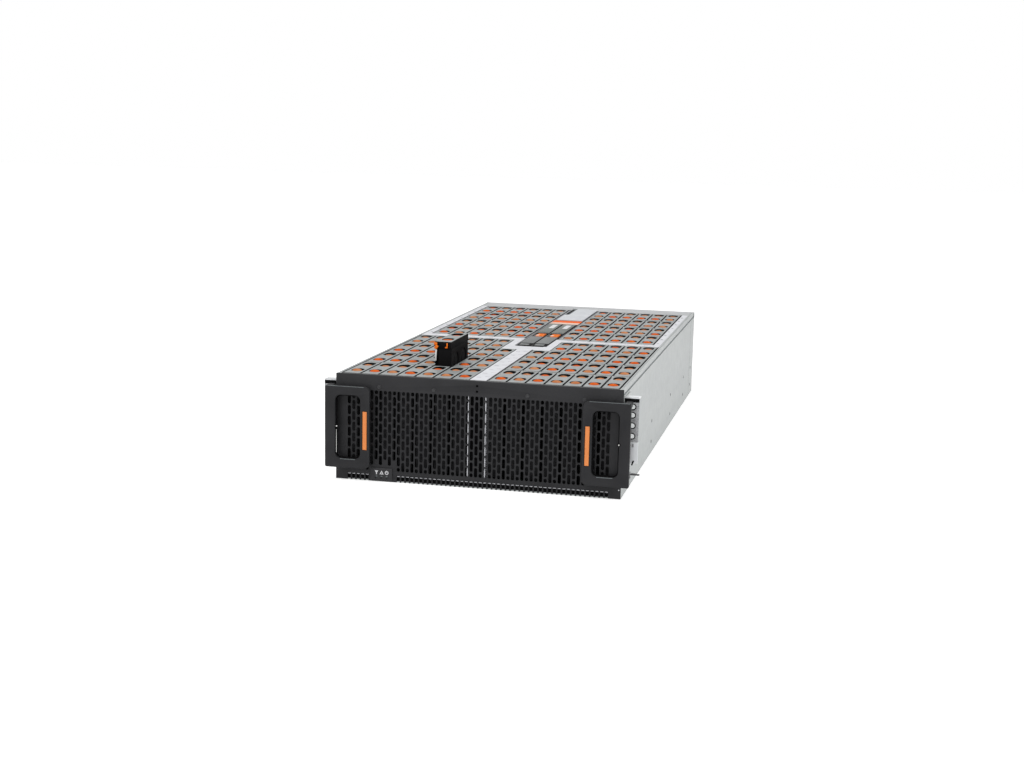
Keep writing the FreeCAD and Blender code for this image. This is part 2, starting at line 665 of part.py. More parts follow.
def lifted_disk():
    """Disk drive standing on its connector end."""
    x, y, z = lifted_bay()
    middle = (x[0] + x[1]) / 2
    start = (y[0] + y[1] - DISK_LENGTH) / 2
    body = block((middle - DISK_WIDTH / 2, middle + DISK_WIDTH / 2), (start, start + DISK_LENGTH),
                 (z[0], z[0] + DISK_HEIGHT))
    upright = [e for e in body.Edges if e.BoundBox.ZLength > DISK_HEIGHT / 2]
    return body.makeChamfer(CARRIER_SIDE, upright)


def lifted_carrier():
    """Carrier sides and end bars round the disk, with dimples in both sides."""
    x, y, z = lifted_bay()
    top = z[1] - CAP_THICKNESS
    side_x = (x[0], x[0] + CARRIER_SIDE), (x[1] - CARRIER_SIDE, x[1])
    parts = [block(limits, y, (z[0], top)) for limits in side_x]
    bar = (y[1] - y[0] - DISK_LENGTH) / 2 - SEAT
    parts.append(block(x, (y[0], y[0] + bar), (z[0], top)))
    parts.append(block(x, (y[1] - bar, y[1]), (z[0], top)))
    carrier = fused(parts)
    step = (top - z[0]) / DIMPLE_ROWS
    dimples = []
    for row in range(DIMPLE_ROWS):
        for share in (0.28, 0.72):
            centre = (y[0] + share * (y[1] - y[0]), z[0] + (row + 0.5) * step)
            for outside, inside in ((x[0], x[0] + DIMPLE_DEPTH), (x[1], x[1] - DIMPLE_DEPTH)):
                corners = [V(outside, centre[0] + point.x, centre[1] + point.z)
                           for point in ring(DIMPLE_RADIUS, 0, 0, 0)]
                face = Part.Face(Part.makePolygon(corners))
                dimples.append(face.extrude(V(inside - outside, 0, 0)))
    return carrier.cut(dimples)


def latch_pivot():
    """Centre of the latch's pin, under the front finger hole."""
    x, y, z = lifted_bay()
    pocket_end = y[0] - DRIVE_END_GAP + POCKET_OFFSET + POCKET_LENGTH / 2
    return (x[0] + x[1]) / 2, pocket_end + DRIVE_PIN_BACK, z[1] - DRIVE_PIN_DEPTH


def lifted_cap():
    """Cap with the two finger holes, and the slot and pin of the latch."""
    x, y, z = lifted_bay()
    cap = block(x, y, (z[1] - CAP_THICKNESS, z[1]))
    upright = [e for e in cap.Edges if e.BoundBox.ZLength > CAP_THICKNESS / 2]
    cap = cap.makeChamfer(1.0, upright)
    middle, pin_y, pin_z = latch_pivot()
    half = LATCH_WIDTH / 2 + SEAT
    slot = block((middle - half, middle + half), (y[0] - 1, pin_y + DRIVE_PIN_DEPTH),
                 (z[1] - POCKET_DEPTH - 1, z[1] - LATCH_COVER))
    holes = []
    for pocket in finger_pockets(x, y, z[1]):
        upright = [e for e in pocket.Edges if e.BoundBox.ZLength > POCKET_DEPTH / 2]
        holes.append(pocket.makeChamfer(POCKET_WIDTH / 4, upright))
    cap = cap.cut(holes + [slot])
    ends = (middle - half - 1, pin_y, pin_z), (middle + half + 1, pin_y, pin_z)
    return cap.fuse(rod(DRIVE_PIN_RADIUS, *ends))


def lifted_latch():
    """Latch finger under the front hole, hooked at its front end."""
    middle, pin_y, pin_z = latch_pivot()
    front = lifted_bay()[1][0]
    x = (middle - LATCH_WIDTH / 2, middle + LATCH_WIDTH / 2)
    barrel = DRIVE_PIN_RADIUS + LATCH_THICKNESS / 2
    hook_y = (front - LATCH_HOOK, front + LATCH_COVER)
    finger = fused([
        block(x, (front + 1, pin_y), (pin_z - LATCH_THICKNESS / 2, pin_z + LATCH_THICKNESS / 2)),
        rod(barrel, (x[0], pin_y, pin_z), (x[1], pin_y, pin_z)),
        block(x, hook_y, (pin_z - LATCH_THICKNESS * 1.5, pin_z + LATCH_THICKNESS / 2)),
    ])
    return finger.cut(rod(DRIVE_PIN_RADIUS + PIN_GAP, (x[0] - 1, pin_y, pin_z), (x[1] + 1, pin_y, pin_z)))


def lifted_leaf():
    """Earthing spring on the side of the carrier."""
    x, y, z = lifted_bay()
    high = z[1] - CAP_THICKNESS - LEAF_DROP
    low = high - LEAF_HEIGHT
    outer = x[0] - 0.5 * DRIVE_SIDE_GAP
    bend = LEAF_HEIGHT / 3
    start = y[0] + LEAF_INSET
    points = [(x[0], low), (outer, low + bend), (outer, high - bend), (x[0], high)]
    outline = [V(px, start, pz) for px, pz in points]
    outline += [V(px + LEAF_THICKNESS, start, pz) for px, pz in reversed(points)]
    bent = Part.Face(Part.makePolygon(outline + outline[:1])).extrude(V(0, LEAF_WIDTH, 0))
    return bent.cut(block((x[0], x[1]), y, (low - 1, high + 1)))


# ---------------------------------------------------------------- centre modules
def module_x():
    return MODULE_GAP, MODULE_GAP + MODULE_WIDTH


def module_body():
    """Right-hand module. The recess at its top holds the ejector lever on a pin."""
    x = module_x()
    body = block(x, (MODULE_FRONT_Y, MODULE_BACK_Y), (MODULE_BASE_Z, MODULE_TOP_Z))
    recess = block((x[0] + RECESS_WALL, x[1] - RECESS_WALL), (RECESS_Y, RECESS_Y + RECESS_LENGTH),
                   (MODULE_TOP_Z - RECESS_DEPTH, MODULE_TOP_Z + 1))
    pin = rod(LEVER_PIN_RADIUS, (x[0] + 1, LEVER_PIN_Y, LEVER_PIN_Z), (x[1] - 1, LEVER_PIN_Y, LEVER_PIN_Z))
    return body.cut(recess).fuse(pin)


def lever_x():
    middle = (module_x()[0] + module_x()[1]) / 2
    return middle - LEVER_WIDTH / 2, middle + LEVER_WIDTH / 2


def module_lever():
    """Ejector lever with a barrel at its back end and a finger lip at the front."""
    x = lever_x()
    tip = LEVER_PIN_Y - LEVER_LENGTH
    top = MODULE_TOP_Z - SEAT
    lever = fused([
        block(x, (tip, LEVER_PIN_Y), (top - LEVER_THICKNESS, top)),
        block(x, (tip, tip + LEVER_THICKNESS), (top - 3 * LEVER_THICKNESS, top)),
        rod(LEVER_BARREL - SEAT, (x[0], LEVER_PIN_Y, LEVER_PIN_Z), (x[1], LEVER_PIN_Y, LEVER_PIN_Z)),
    ])
    hole = rod(LEVER_PIN_RADIUS + PIN_GAP, (x[0] - 1, LEVER_PIN_Y, LEVER_PIN_Z),
               (x[1] + 1, LEVER_PIN_Y, LEVER_PIN_Z))
    return lever.cut(hole)


def module_bail():
    """Square wire hook clipped under the lever's front end."""
    x = lever_x()
    top = MODULE_TOP_Z - SEAT - 3 * LEVER_THICKNESS
    near = LEVER_PIN_Y - LEVER_LENGTH
    far = near + LEVER_LENGTH / 2
    left = x[0] - 1.5 * BAIL_WIRE
    right = x[1] + 1.5 * BAIL_WIRE
    outer = block((left, right), (near, far), (top - BAIL_WIRE, top))
    corners = [e for e in outer.Edges if e.BoundBox.ZLength > BAIL_WIRE / 2 and e.BoundBox.YMax < far - 1]
    inner = block((left + BAIL_WIRE, right - BAIL_WIRE), (near + BAIL_WIRE, far + 1), (top - 5, top + 5))
    return outer.makeChamfer(BAIL_WIRE, corners).cut(inner)


def pull_strap():
    """Wide flexible tab over the cables behind the modules, on two short legs."""
    y = (STRAP_Y, STRAP_Y + STRAP_WIDTH)
    top = (MODULE_TOP_Z - STRAP_THICKNESS, MODULE_TOP_Z)
    foot = BAY_WALL_X - SEAT
    strap = block((-foot, foot), y, top)
    legs = [block((side * (foot - STRAP_THICKNESS), side * foot), y, (top[0] - STRAP_LEG, top[1]))
            for side in (-1, 1)]
    return fused([strap] + legs)


def module_cover():
    """Folded cover over the rear of the module bay, slotted along one edge."""
    half = COVER_HALF
    y = (COVER_Y, COVER_END)
    skirt = (BODY_HEIGHT - COVER_SKIRT, BODY_HEIGHT)
    cover = fused([
        block((-half, half), y, (BODY_HEIGHT - STRIP_SHEET, BODY_HEIGHT)),
        block((-half, STRIP_SHEET - half), (y[0], REAR_BANK_END - 1), skirt),
        block((half - STRIP_SHEET, half), (y[0], REAR_BANK_END - 1), skirt),
    ])
    slot_x = (3 * STRIP_SHEET - half, 3 * STRIP_SHEET - half + COVER_SLOT_WIDTH)
    slot = block(slot_x, (y[1] - COVER_SLOT - 4, y[1] - 4), (BODY_HEIGHT - 5, BODY_HEIGHT + 1))
    return cover.cut(slot)


# ---------------------------------------------------------------- ears, brackets and slam hooks
def ear_handle():
    """Right-hand ear: a rounded frame held off the grille by its outer wall."""
    radii = (EAR_INNER_RADIUS, EAR_OUTER_RADIUS, EAR_OUTER_RADIUS, EAR_INNER_RADIUS)
    outline = rounded((EAR_INNER_X, EAR_OUTER_X), (EAR_BOTTOM, EAR_TOP), EAR_FRONT_Y, radii)
    window = rounded((WINDOW_INNER_X, WINDOW_OUTER_X), (WINDOW_BOTTOM, WINDOW_TOP), EAR_FRONT_Y - 1,
                     [WINDOW_RADIUS] * 4)
    plate = prism(outline, EAR_FRONT_Y, EAR_BACK_Y)
    plate = plate.cut(prism(window, EAR_FRONT_Y - 1, EAR_BACK_Y + 1))
    web_x = (SIDE + SEAT, SIDE + SEAT + EAR_WEB)
    web = block(web_x, (EAR_BACK_Y, -BRACKET_SHEET - SEAT), (BRACKET_BOTTOM, EAR_TOP - EAR_OUTER_RADIUS))
    ear = fused([plate, web])
    half = TRIGGER_WIDTH / 2 + SEAT
    opening = block((TRIGGER_X - half, TRIGGER_X + half), (EAR_FRONT_Y - 1, EAR_BACK_Y + 1),
                    (TRIGGER_BOTTOM - SEAT, TRIGGER_TOP + SEAT))
    return ear.cut(opening)


def ear_trigger():
    """Release bar in the ear's grip. A rim behind the grip keeps it in."""
    half = TRIGGER_WIDTH / 2
    y = (EAR_FRONT_Y - TRIGGER_PROUD, EAR_BACK_Y + SEAT + TRIGGER_FLANGE)
    bar = block((TRIGGER_X - half, TRIGGER_X + half), y, (TRIGGER_BOTTOM, TRIGGER_TOP))
    front_edges = [e for e in bar.Edges if e.BoundBox.YMax < EAR_FRONT_Y]
    bar = bar.makeChamfer(TRIGGER_PROUD, front_edges)
    rim = half + TRIGGER_FLANGE
    back = block((TRIGGER_X - rim, TRIGGER_X + rim), (EAR_BACK_Y + SEAT, y[1]),
                 (TRIGGER_BOTTOM - TRIGGER_FLANGE, TRIGGER_TOP + TRIGGER_FLANGE))
    return fused([bar, back])


def rack_bracket():
    """Right-hand bracket: a leg on the side wall, the drilled rack flange and a top lip."""
    x = (SIDE, SIDE + BRACKET_SHEET)
    front = -BRACKET_SHEET
    bracket = fused([
        block(x, (front, BRACKET_LENGTH), (BRACKET_BOTTOM, BRACKET_TOP)),
        block((SIDE, FLANGE_EDGE_X), (front, 0), (BRACKET_BOTTOM, BRACKET_TOP)),
        block((SIDE, LIP_EDGE_X), (front, LIP_LENGTH), (BRACKET_TOP - BRACKET_SHEET, BRACKET_TOP)),
    ])
    heights = [RACK_TOP_HOLE - step for step in RACK_HOLE_STEPS]
    holes = [rod(RACK_HOLE_RADIUS, (RACK_HOLE_X, front - 1, z), (RACK_HOLE_X, 1, z)) for z in heights]
    return bracket.cut(holes)


def hook_bracket():
    """Lower bracket: a leg on the side wall and two lugs that carry the hook's pin."""
    x = (SIDE, SIDE + BRACKET_SHEET)
    reach = HOOK_PIN_X + HOOK_BARREL
    y = (HOOK_PIN_Y - HOOK_BARREL, HOOK_PIN_Y + HOOK_BARREL)
    low = HOOK_Z - SEAT - BRACKET_SHEET
    high = HOOK_TOP + SEAT
    middle = HOOK_Z + HOOK_THICKNESS / 2
    foot = (middle - HOOK_FOOT / 2, middle + HOOK_FOOT / 2)
    bracket = fused([
        block(x, (0, BRACKET_LENGTH), foot),
        block((SIDE, reach), y, (low, low + BRACKET_SHEET)),
        block((SIDE, reach), y, (high, high + BRACKET_SHEET)),
        rod(HOOK_PIN_RADIUS, (HOOK_PIN_X, HOOK_PIN_Y, low), (HOOK_PIN_X, HOOK_PIN_Y, high + BRACKET_SHEET)),
    ])
    return bracket


def slam_hook():
    """Spring hook that snaps behind the rack post, with a ramped nose."""
    back = HOOK_PIN_Y + HOOK_ARM
    near = HOOK_PIN_X - HOOK_BARREL / 2
    far = HOOK_PIN_X + HOOK_BARREL / 2
    points = [(near, HOOK_PIN_Y), (near, back), (far, back + HOOK_NOSE / 2),
              (HOOK_REACH_X, back - HOOK_NOSE / 3), (HOOK_REACH_X, back - HOOK_NOSE),
              (far + 1, back - HOOK_NOSE), (far, HOOK_PIN_Y)]
    wire = Part.makePolygon([V(px, py, HOOK_Z) for px, py in points + points[:1]])
    arm = Part.Face(wire).extrude(V(0, 0, HOOK_THICKNESS))
    pivot = (HOOK_PIN_X, HOOK_PIN_Y)
    hook = fused([arm, rod(HOOK_BARREL - SEAT, (*pivot, HOOK_Z), (*pivot, HOOK_TOP))])
    return hook.cut(rod(HOOK_PIN_RADIUS + PIN_GAP, (*pivot, HOOK_Z - 1), (*pivot, HOOK_TOP + 1)))


# ---------------------------------------------------------------- rear modules
def grip_loop(x, z, back):
    """Upright loop of flat bar on the back of a module, round at its two corners."""
    across = (x - GRIP_BAR / 2, x + GRIP_BAR / 2)
    half = GRIP_HEIGHT / 2
    outer = block(across, (back - 1, back + GRIP_REACH), (z - half, z + half))
    inner = block((across[0] - 1, across[1] + 1), (back, back + GRIP_REACH - GRIP_BAR),
                  (z - half + GRIP_BAR, z + half - GRIP_BAR))
    corners = [e for e in outer.Edges if e.BoundBox.YMin > back and e.BoundBox.XLength > GRIP_BAR / 2]
    return outer.makeFillet(GRIP_BAR, corners).cut(inner)


def fan_centre(index):
    return fan_x(index), FAN_BOTTOM + FAN_HEIGHT / 2


def rotor_y():
    """Front and back of a rotor's hub. The motor's seat is behind it."""
    back = FAN_BACK_Y - 3 * STRUT
    return back - HUB_LENGTH, back


def fan_housing(index):
    """Fan housing with a round duct and the bars that carry the motor."""
    x, z = fan_centre(index)
    shell = block((x - FAN_WIDTH / 2, x + FAN_WIDTH / 2), (FAN_INNER_Y, FAN_BACK_Y),
                  (FAN_BOTTOM, FAN_BOTTOM + FAN_HEIGHT))
    shell = shell.cut(rod(DUCT_RADIUS, (x, FAN_INNER_Y - 1, z), (x, FAN_BACK_Y + 1, z)))
    seat_y = rotor_y()[1] + SEAT
    bar = block((x - STRUT / 2, x + STRUT / 2), (seat_y, seat_y + STRUT), (z, z + DUCT_RADIUS + 1))
    seat = prism(Part.makePolygon(ring(HUB_RADIUS, x, seat_y, z, 12)), seat_y, seat_y + STRUT)
    parts = [shell, seat]
    parts += [turned(bar, 360 * k / STRUT_COUNT, (x, 0, z), (0, 1, 0)) for k in range(STRUT_COUNT)]
    parts.append(rod(SHAFT_RADIUS, (x, rotor_y()[0], z), (x, seat_y + STRUT, z)))
    return fused(parts)


def fan_rotor(index):
    """Hub with pitched blades, bored for the motor's shaft."""
    x, z = fan_centre(index)
    front, back = rotor_y()
    middle = (front + back) / 2
    chord = HUB_LENGTH - BLADE_THICKNESS
    tip = math.sqrt((DUCT_RADIUS - TIP_GAP) ** 2 - (chord / 2) ** 2)
    flat = block((x - BLADE_THICKNESS / 2, x + BLADE_THICKNESS / 2),
                 (middle - chord / 2, middle + chord / 2), (z + HUB_RADIUS - 2, z + tip))
    blade = turned(flat, BLADE_ANGLE, (x, middle, z), (0, 0, 1))
    blades = [turned(blade, 360 * k / BLADES, (x, middle, z), (0, 1, 0)) for k in range(BLADES)]
    hub = prism(Part.makePolygon(ring(HUB_RADIUS - SEAT, x, front, z, 20)), front, back)
    return fused([hub] + blades).cut(rod(SHAFT_RADIUS + PIN_GAP, (x, front - 1, z), (x, back + 1, z)))


def supply_centre_z():
    return WALL + SEAT + SUPPLY_HEIGHT / 2


def catch_pivot(side):
    """Pin of the catch, at the outer side of a power supply's back."""
    x = side * (SUPPLY_X + SUPPLY_WIDTH / 2 - CATCH_WIDTH)
    return x, SUPPLY_BACK_Y + CATCH_PIN_RADIUS + CATCH_THICKNESS, supply_centre_z()


def power_supply(side):
    """Power supply with its inlet, round exhaust, pull loop and the pin of its catch."""
    x = side * SUPPLY_X
    z = supply_centre_z()
    half = SUPPLY_WIDTH / 2
    base = WALL + SEAT
    body = block((x - half, x + half), (SUPPLY_INNER_Y, SUPPLY_BACK_Y), (base, base + SUPPLY_HEIGHT))
    inlet_x = x - side * (half - INLET_WIDTH / 2 - 5)
    inlet = block((inlet_x - INLET_WIDTH / 2, inlet_x + INLET_WIDTH / 2),
                  (SUPPLY_BACK_Y - INLET_DEPTH, SUPPLY_BACK_Y + 1),
                  (z - INLET_HEIGHT / 2, z + INLET_HEIGHT / 2))
    exhaust_x = x + side * (half / 3)
    exhaust = rod(EXHAUST_RADIUS, (exhaust_x, SUPPLY_BACK_Y - EXHAUST_DEPTH, z),
                  (exhaust_x, SUPPLY_BACK_Y + 1, z))
    motor = rod(EXHAUST_RADIUS / 2, (exhaust_x, SUPPLY_BACK_Y - EXHAUST_DEPTH, z),
                (exhaust_x, SUPPLY_BACK_Y - EXHAUST_DEPTH / 2, z))
    pivot_x, pivot_y, pivot_z = catch_pivot(side)
    lugs = []
    for way in (-1, 1):
        near = CATCH_LENGTH / 2 + SEAT
        lug_z = (pivot_z + way * near, pivot_z + way * (near + STRUT))
        lugs.append(block((pivot_x - 3, pivot_x + 3), (SUPPLY_BACK_Y - 1, pivot_y + 2), lug_z))
    reach = CATCH_LENGTH / 2 + STRUT
    pin = rod(CATCH_PIN_RADIUS, (pivot_x, pivot_y, pivot_z - reach), (pivot_x, pivot_y, pivot_z + reach))
    loop = grip_loop(x - side * GRIP_BAR, z, SUPPLY_BACK_Y)
    return fused([body.cut([inlet, exhaust]), motor, pin, loop] + lugs)


def supply_catch(side):
    """Thumb catch of a power supply, on its upright pin."""
    x, y, z = catch_pivot(side)
    height = (z - CATCH_LENGTH / 2, z + CATCH_LENGTH / 2)
    barrel = CATCH_PIN_RADIUS + CATCH_THICKNESS - SEAT
    half = CATCH_THICKNESS / 2
    tab = block((x, x + side * (CATCH_WIDTH - 1)), (y - half, y + half), height)
    thumb = block((x - side * half, x + side * half), (y, y + CATCH_WIDTH), height)
    catch = fused([rod(barrel, (x, y, height[0]), (x, y, height[1])), tab, thumb])
    return catch.cut(rod(CATCH_PIN_RADIUS + PIN_GAP, (x, y, height[0] - 1), (x, y, height[1] + 1)))


# ---------------------------------------------------------------- the whole enclosure
def enclosure():
    """Every piece by its node's name. A list is a group of separate solids."""
    front_board = (FRONT_BANK_Y, REAR_BANK_Y - CROSS_BEAM / 2)
    rear_board = (front_board[1] + SLIDE_GAP, REAR_BANK_END - SEAT)
    nodes = {
        "chassis_pan": chassis_pan(),
        "front_panel": front_panel(),
        "panel_screws": panel_screws(),
        "status_block": status_block(),
        "light_pipes": light_pipes(),
        "centre_channel": centre_channel(),
        "module_bay": module_bay(),
        "cross_beams": cross_beams(),
        "side_channels": side_channels(),
        "rear_deck": rear_deck(),
        "rear_panel": rear_panel(),
        "fan_shelf": fan_shelf(),
        "port_shells": port_shells(),
        "port_board": port_board(),
        "baseboard_front": baseboard(front_board),
        "baseboard_rear": baseboard(rear_board),
        "standoffs": standoffs(),
        "connector_rows": connector_rows(),
        "bay_guides": bay_guides(),
        "drives_front_left": seated_drives(-1, 0),
        "drives_front_right": seated_drives(1, 0),
        "drives_rear_left": seated_drives(-1, 1),
        "drives_rear_right": seated_drives(1, 1),
        "lifted_disk": lifted_disk(),
        "lifted_carrier": lifted_carrier(),
        "lifted_cap": lifted_cap(),
        "lifted_latch": lifted_latch(),
        "lifted_leaf": lifted_leaf(),
        "pull_strap": pull_strap(),
        "module_cover": module_cover(),
    }
    paired = {
        "module": module_body(),
        "module_lever": module_lever(),
        "module_bail": module_bail(),
        "ear_handle": ear_handle(),
        "ear_trigger": ear_trigger(),
        "rack_bracket": rack_bracket(),
        "hook_bracket": hook_bracket(),
        "slam_hook": slam_hook(),
    }
    for name, shape in paired.items():
        nodes[name + "_right"] = shape
        nodes[name + "_left"] = mirrored(shape)
    for index in range(FAN_COUNT):
        nodes[f"fan_housing_{index + 1}"] = fan_housing(index)
        nodes[f"fan_rotor_{index + 1}"] = fan_rotor(index)
    for side, name in ((-1, "left"), (1, "right")):
        nodes["power_supply_" + name] = power_supply(side)
        nodes["supply_catch_" + name] = supply_catch(side)
    return nodes


os.makedirs("parts", exist_ok=True)
for node, piece in enclosure().items():
    solid = Part.makeCompound(piece) if isinstance(piece, list) else piece
    solid.exportStep(f"parts/{node}.step")
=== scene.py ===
"""Looks of the disk shelf enclosure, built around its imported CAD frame.

Lengths are written in millimetres and turned into Blender's metres by MM.
X runs across the rack, Y from front to back, Z up, as in the frame.
"""
import math
import random

import bmesh
import bpy
from mathutils import Euler, Matrix, Vector


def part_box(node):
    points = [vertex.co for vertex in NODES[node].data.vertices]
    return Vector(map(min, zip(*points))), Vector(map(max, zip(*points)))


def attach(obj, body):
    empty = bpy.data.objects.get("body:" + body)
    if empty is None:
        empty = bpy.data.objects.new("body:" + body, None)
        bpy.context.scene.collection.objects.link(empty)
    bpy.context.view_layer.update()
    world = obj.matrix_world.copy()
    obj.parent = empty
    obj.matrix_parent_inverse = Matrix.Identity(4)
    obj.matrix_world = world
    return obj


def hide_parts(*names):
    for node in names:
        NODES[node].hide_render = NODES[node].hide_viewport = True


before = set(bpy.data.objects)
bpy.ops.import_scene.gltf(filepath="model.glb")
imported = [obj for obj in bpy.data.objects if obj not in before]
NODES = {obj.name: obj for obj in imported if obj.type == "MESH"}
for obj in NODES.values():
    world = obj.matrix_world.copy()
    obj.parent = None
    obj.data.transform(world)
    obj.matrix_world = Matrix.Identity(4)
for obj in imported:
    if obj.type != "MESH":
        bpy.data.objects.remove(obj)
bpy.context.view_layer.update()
MM = 0.001
SIDES = ((-1, "left"), (1, "right"))
SMOOTH_ANGLE = 35                # degrees between faces, above it their edge stays sharp

# Camera, in metres and radians
CAMERA_AT = (0.54249, -2.19358, 0.55521)
CAMERA_TURN = (1.3979, -0.0215, 0.2241)
LENS = 53.25
SENSOR = 36.0

# Light, as levels from 0 to 1, and floor, in metres
SOFT_LEVEL = 0.55
FLOOR_GLOW = 0.5
FLOOR_REACH = 12.0
FLOOR_DROP = 0.0005

# Drive bays, millimetres
COLUMN_PITCH = 28.86
ROW_PITCH = 110.0
ROWS = 4
BANKS = {  # first y, columns on each side, centre plane to the first column
    "front": (-4.0, 7, 14.0),
    "rear": (460.0, 6, 30.2),
}
LIFTED = ("front", -1, 2, 1)     # bank, side, column, row
CAP_WIDTH = 25.8
CAP_LENGTH = 107.6
CAP_SHEET = 1.2
HOLE_RADIUS = 9.3
HOLE_REACH = (7.0, 11.5)         # how far a front and a rear finger hole run on behind their pads
HOLE_OFFSET = 27.5               # from a bay's front or rear end to its finger hole
PAD_STEPS = 20
PAD_RINGS = ((8.9, -2.6), (8.9, -0.2), (8.2, 0.3), (5.5, 0.8), (2.5, 1.0))    # radius and height
PAD_DEPTH = (1.1, 2.05)          # origin of the lifted drive's pads under its cap, front and rear
DOME_RINGS = ((8.6, -2.6), (8.0, -0.8), (6.8, 0.6), (5.2, 1.5), (3.3, 2.1), (1.5, 2.4))
DOME_DEPTH = (0.2, 1.9)          # the same for the seated drives
DOME_TILT = ((-6, -1), (-2, 2))  # degrees about X and about Y
DULL_SHARE = (0.4, 0.8)          # share of pads in the duller orange, in front and rear holes

# Grille, millimetres
SLOT_PITCH_X = COLUMN_PITCH / 4
SLOT_PITCH_Z = 17.03
SLOT_WIDTH = 5.0
SLOT_HEIGHT = 14.6
SHORT_SLOT = 6.0
SLOT_TOP = 142.2
SLOT_ROWS = 7
SLOT_COLUMNS = 28                # on each side of the middle one
SLOT_CORNER = 2.3
VENT_TOP = 11.0
VENT_PEAK = 1.0                  # height of a vent's pointed end
STATUS_ROOM = 4.0                # no slots this near to the status block
PANEL_SHEET = 1.5
PANEL_HOLES_Z = (158.3, 149.7)
LIGHT_LINE_X = 13.4              # bright edges seen in the slots, at both sides
SCREW_SHARES = (-0.689, -0.302, 0.349, 0.738)    # of half the width, above the slots
SCREW_Z = 147.6
CORNER_SCREW = (220.6, 14.0)     # x and z
MARK_PITCH = 8.2                 # of the status marks
MARK_Z = 14.2

# Centre modules, millimetres from front to back
MODULE_LIP = (369.0, 407.0)
MODULE_LIP_PLATE = (383.0, 399.0)
MODULE_FRONT = (408.0, 494.5)
MODULE_WELL = (498.4, 541.0)
MODULE_WELL_Z = (150.0, 150.4)
MODULE_REAR = (545.5, 677.0)
MODULE_LINE = (552.0, 553.4)
LABEL_X = {-1: (-17.5, -8.0), 1: (9.0, 18.5)}
LABEL_Y = (612, 660)

# Body and the marks on it, millimetres. Places in x hold for both sides.
SIDE = 223.5                     # half the width
PRINTED = (165.95, 166.05)       # heights of printed marks
DARK_LINE = (165.98, 166.08)     # heights of dark lines, painted shade along gaps
STRIP_DASHES = (22, 39, 8)       # first y, pitch, count
RIVETS = (478, 54, 8)            # first y, pitch, count
RIVET_X = 209.5
BEAM_DASHES = (52, 34, 5)        # first x, pitch, count
RAIL_HOLES_Y = (324, 585, 795, 920)
RAIL_HOLES_Z = (20, 56)
GAP_LINES = ((216.6, (-4, 436)), (29.3, (462, 900)), (204.2, (462, 900)))    # x and span in y

# Ears, brackets and slam hooks, millimetres. Places in x hold for both sides.
EAR_SHEET = 6.5
EAR_CORNERS = (9.0, 2.5)         # radii at the inner and the outer edge
WINDOW_X = (180.0, 220.5)
WINDOW_Z = (35.2, 134.6)
WINDOW_CORNER = 9.0
TRIGGER_X = (169.3, 176.3)
TRIGGER_Z = (50.4, 110.6)
EAR_SCREW_X = {-1: 218.0, 1: 220.4}
EAR_SCREW_Z = 85.5
FLANGE_WIDTH = 22.0
FLANGE_STEP = 86.0               # below this height the flange is painted brighter, painted light against the shade on its lower part
BRACKET_SHEET = (-2, 0)
RACK_HOLES_X = (229.0, 239.6)
RACK_HOLES_Z = (139.7, 127.0, 111.125, 95.25)
HOOK_PIN = (230.0, 9.0)          # x and y
HOOK_NOSE = ((227.9, 12.2), (227.9, 21.0), (232.1, 23.8), (246.7, 19.0), (246.7, 15.2), (233.1, 15.2),
             (232.1, 12.2))

# Fan guards, millimetres
GUARD_RINGS = (11.0, 19.5, 28.0, 36.5)
GUARD_REACH = 40.0
GUARD_WIRE = 0.8                 # half the width

random.seed(7)


# ---------------------------------------------------------------- colours and materials
def linear(red, green, blue):
    """Linear colour from 0 to 255 display values."""
    out = []
    for value in (red, green, blue):
        value /= 255
        out.append(value / 12.92 if value <= 0.04045 else ((value + 0.055) / 1.055) ** 2.4)
    return (*out, 1.0)


def node(tree, kind, **inputs):
    """A new shader node with some inputs set. Input names have _ where Blender has a space."""
    made = tree.nodes.new(kind)
    for name, value in inputs.items():
        made.inputs[name.replace("_", " ")].default_value = value
    return made


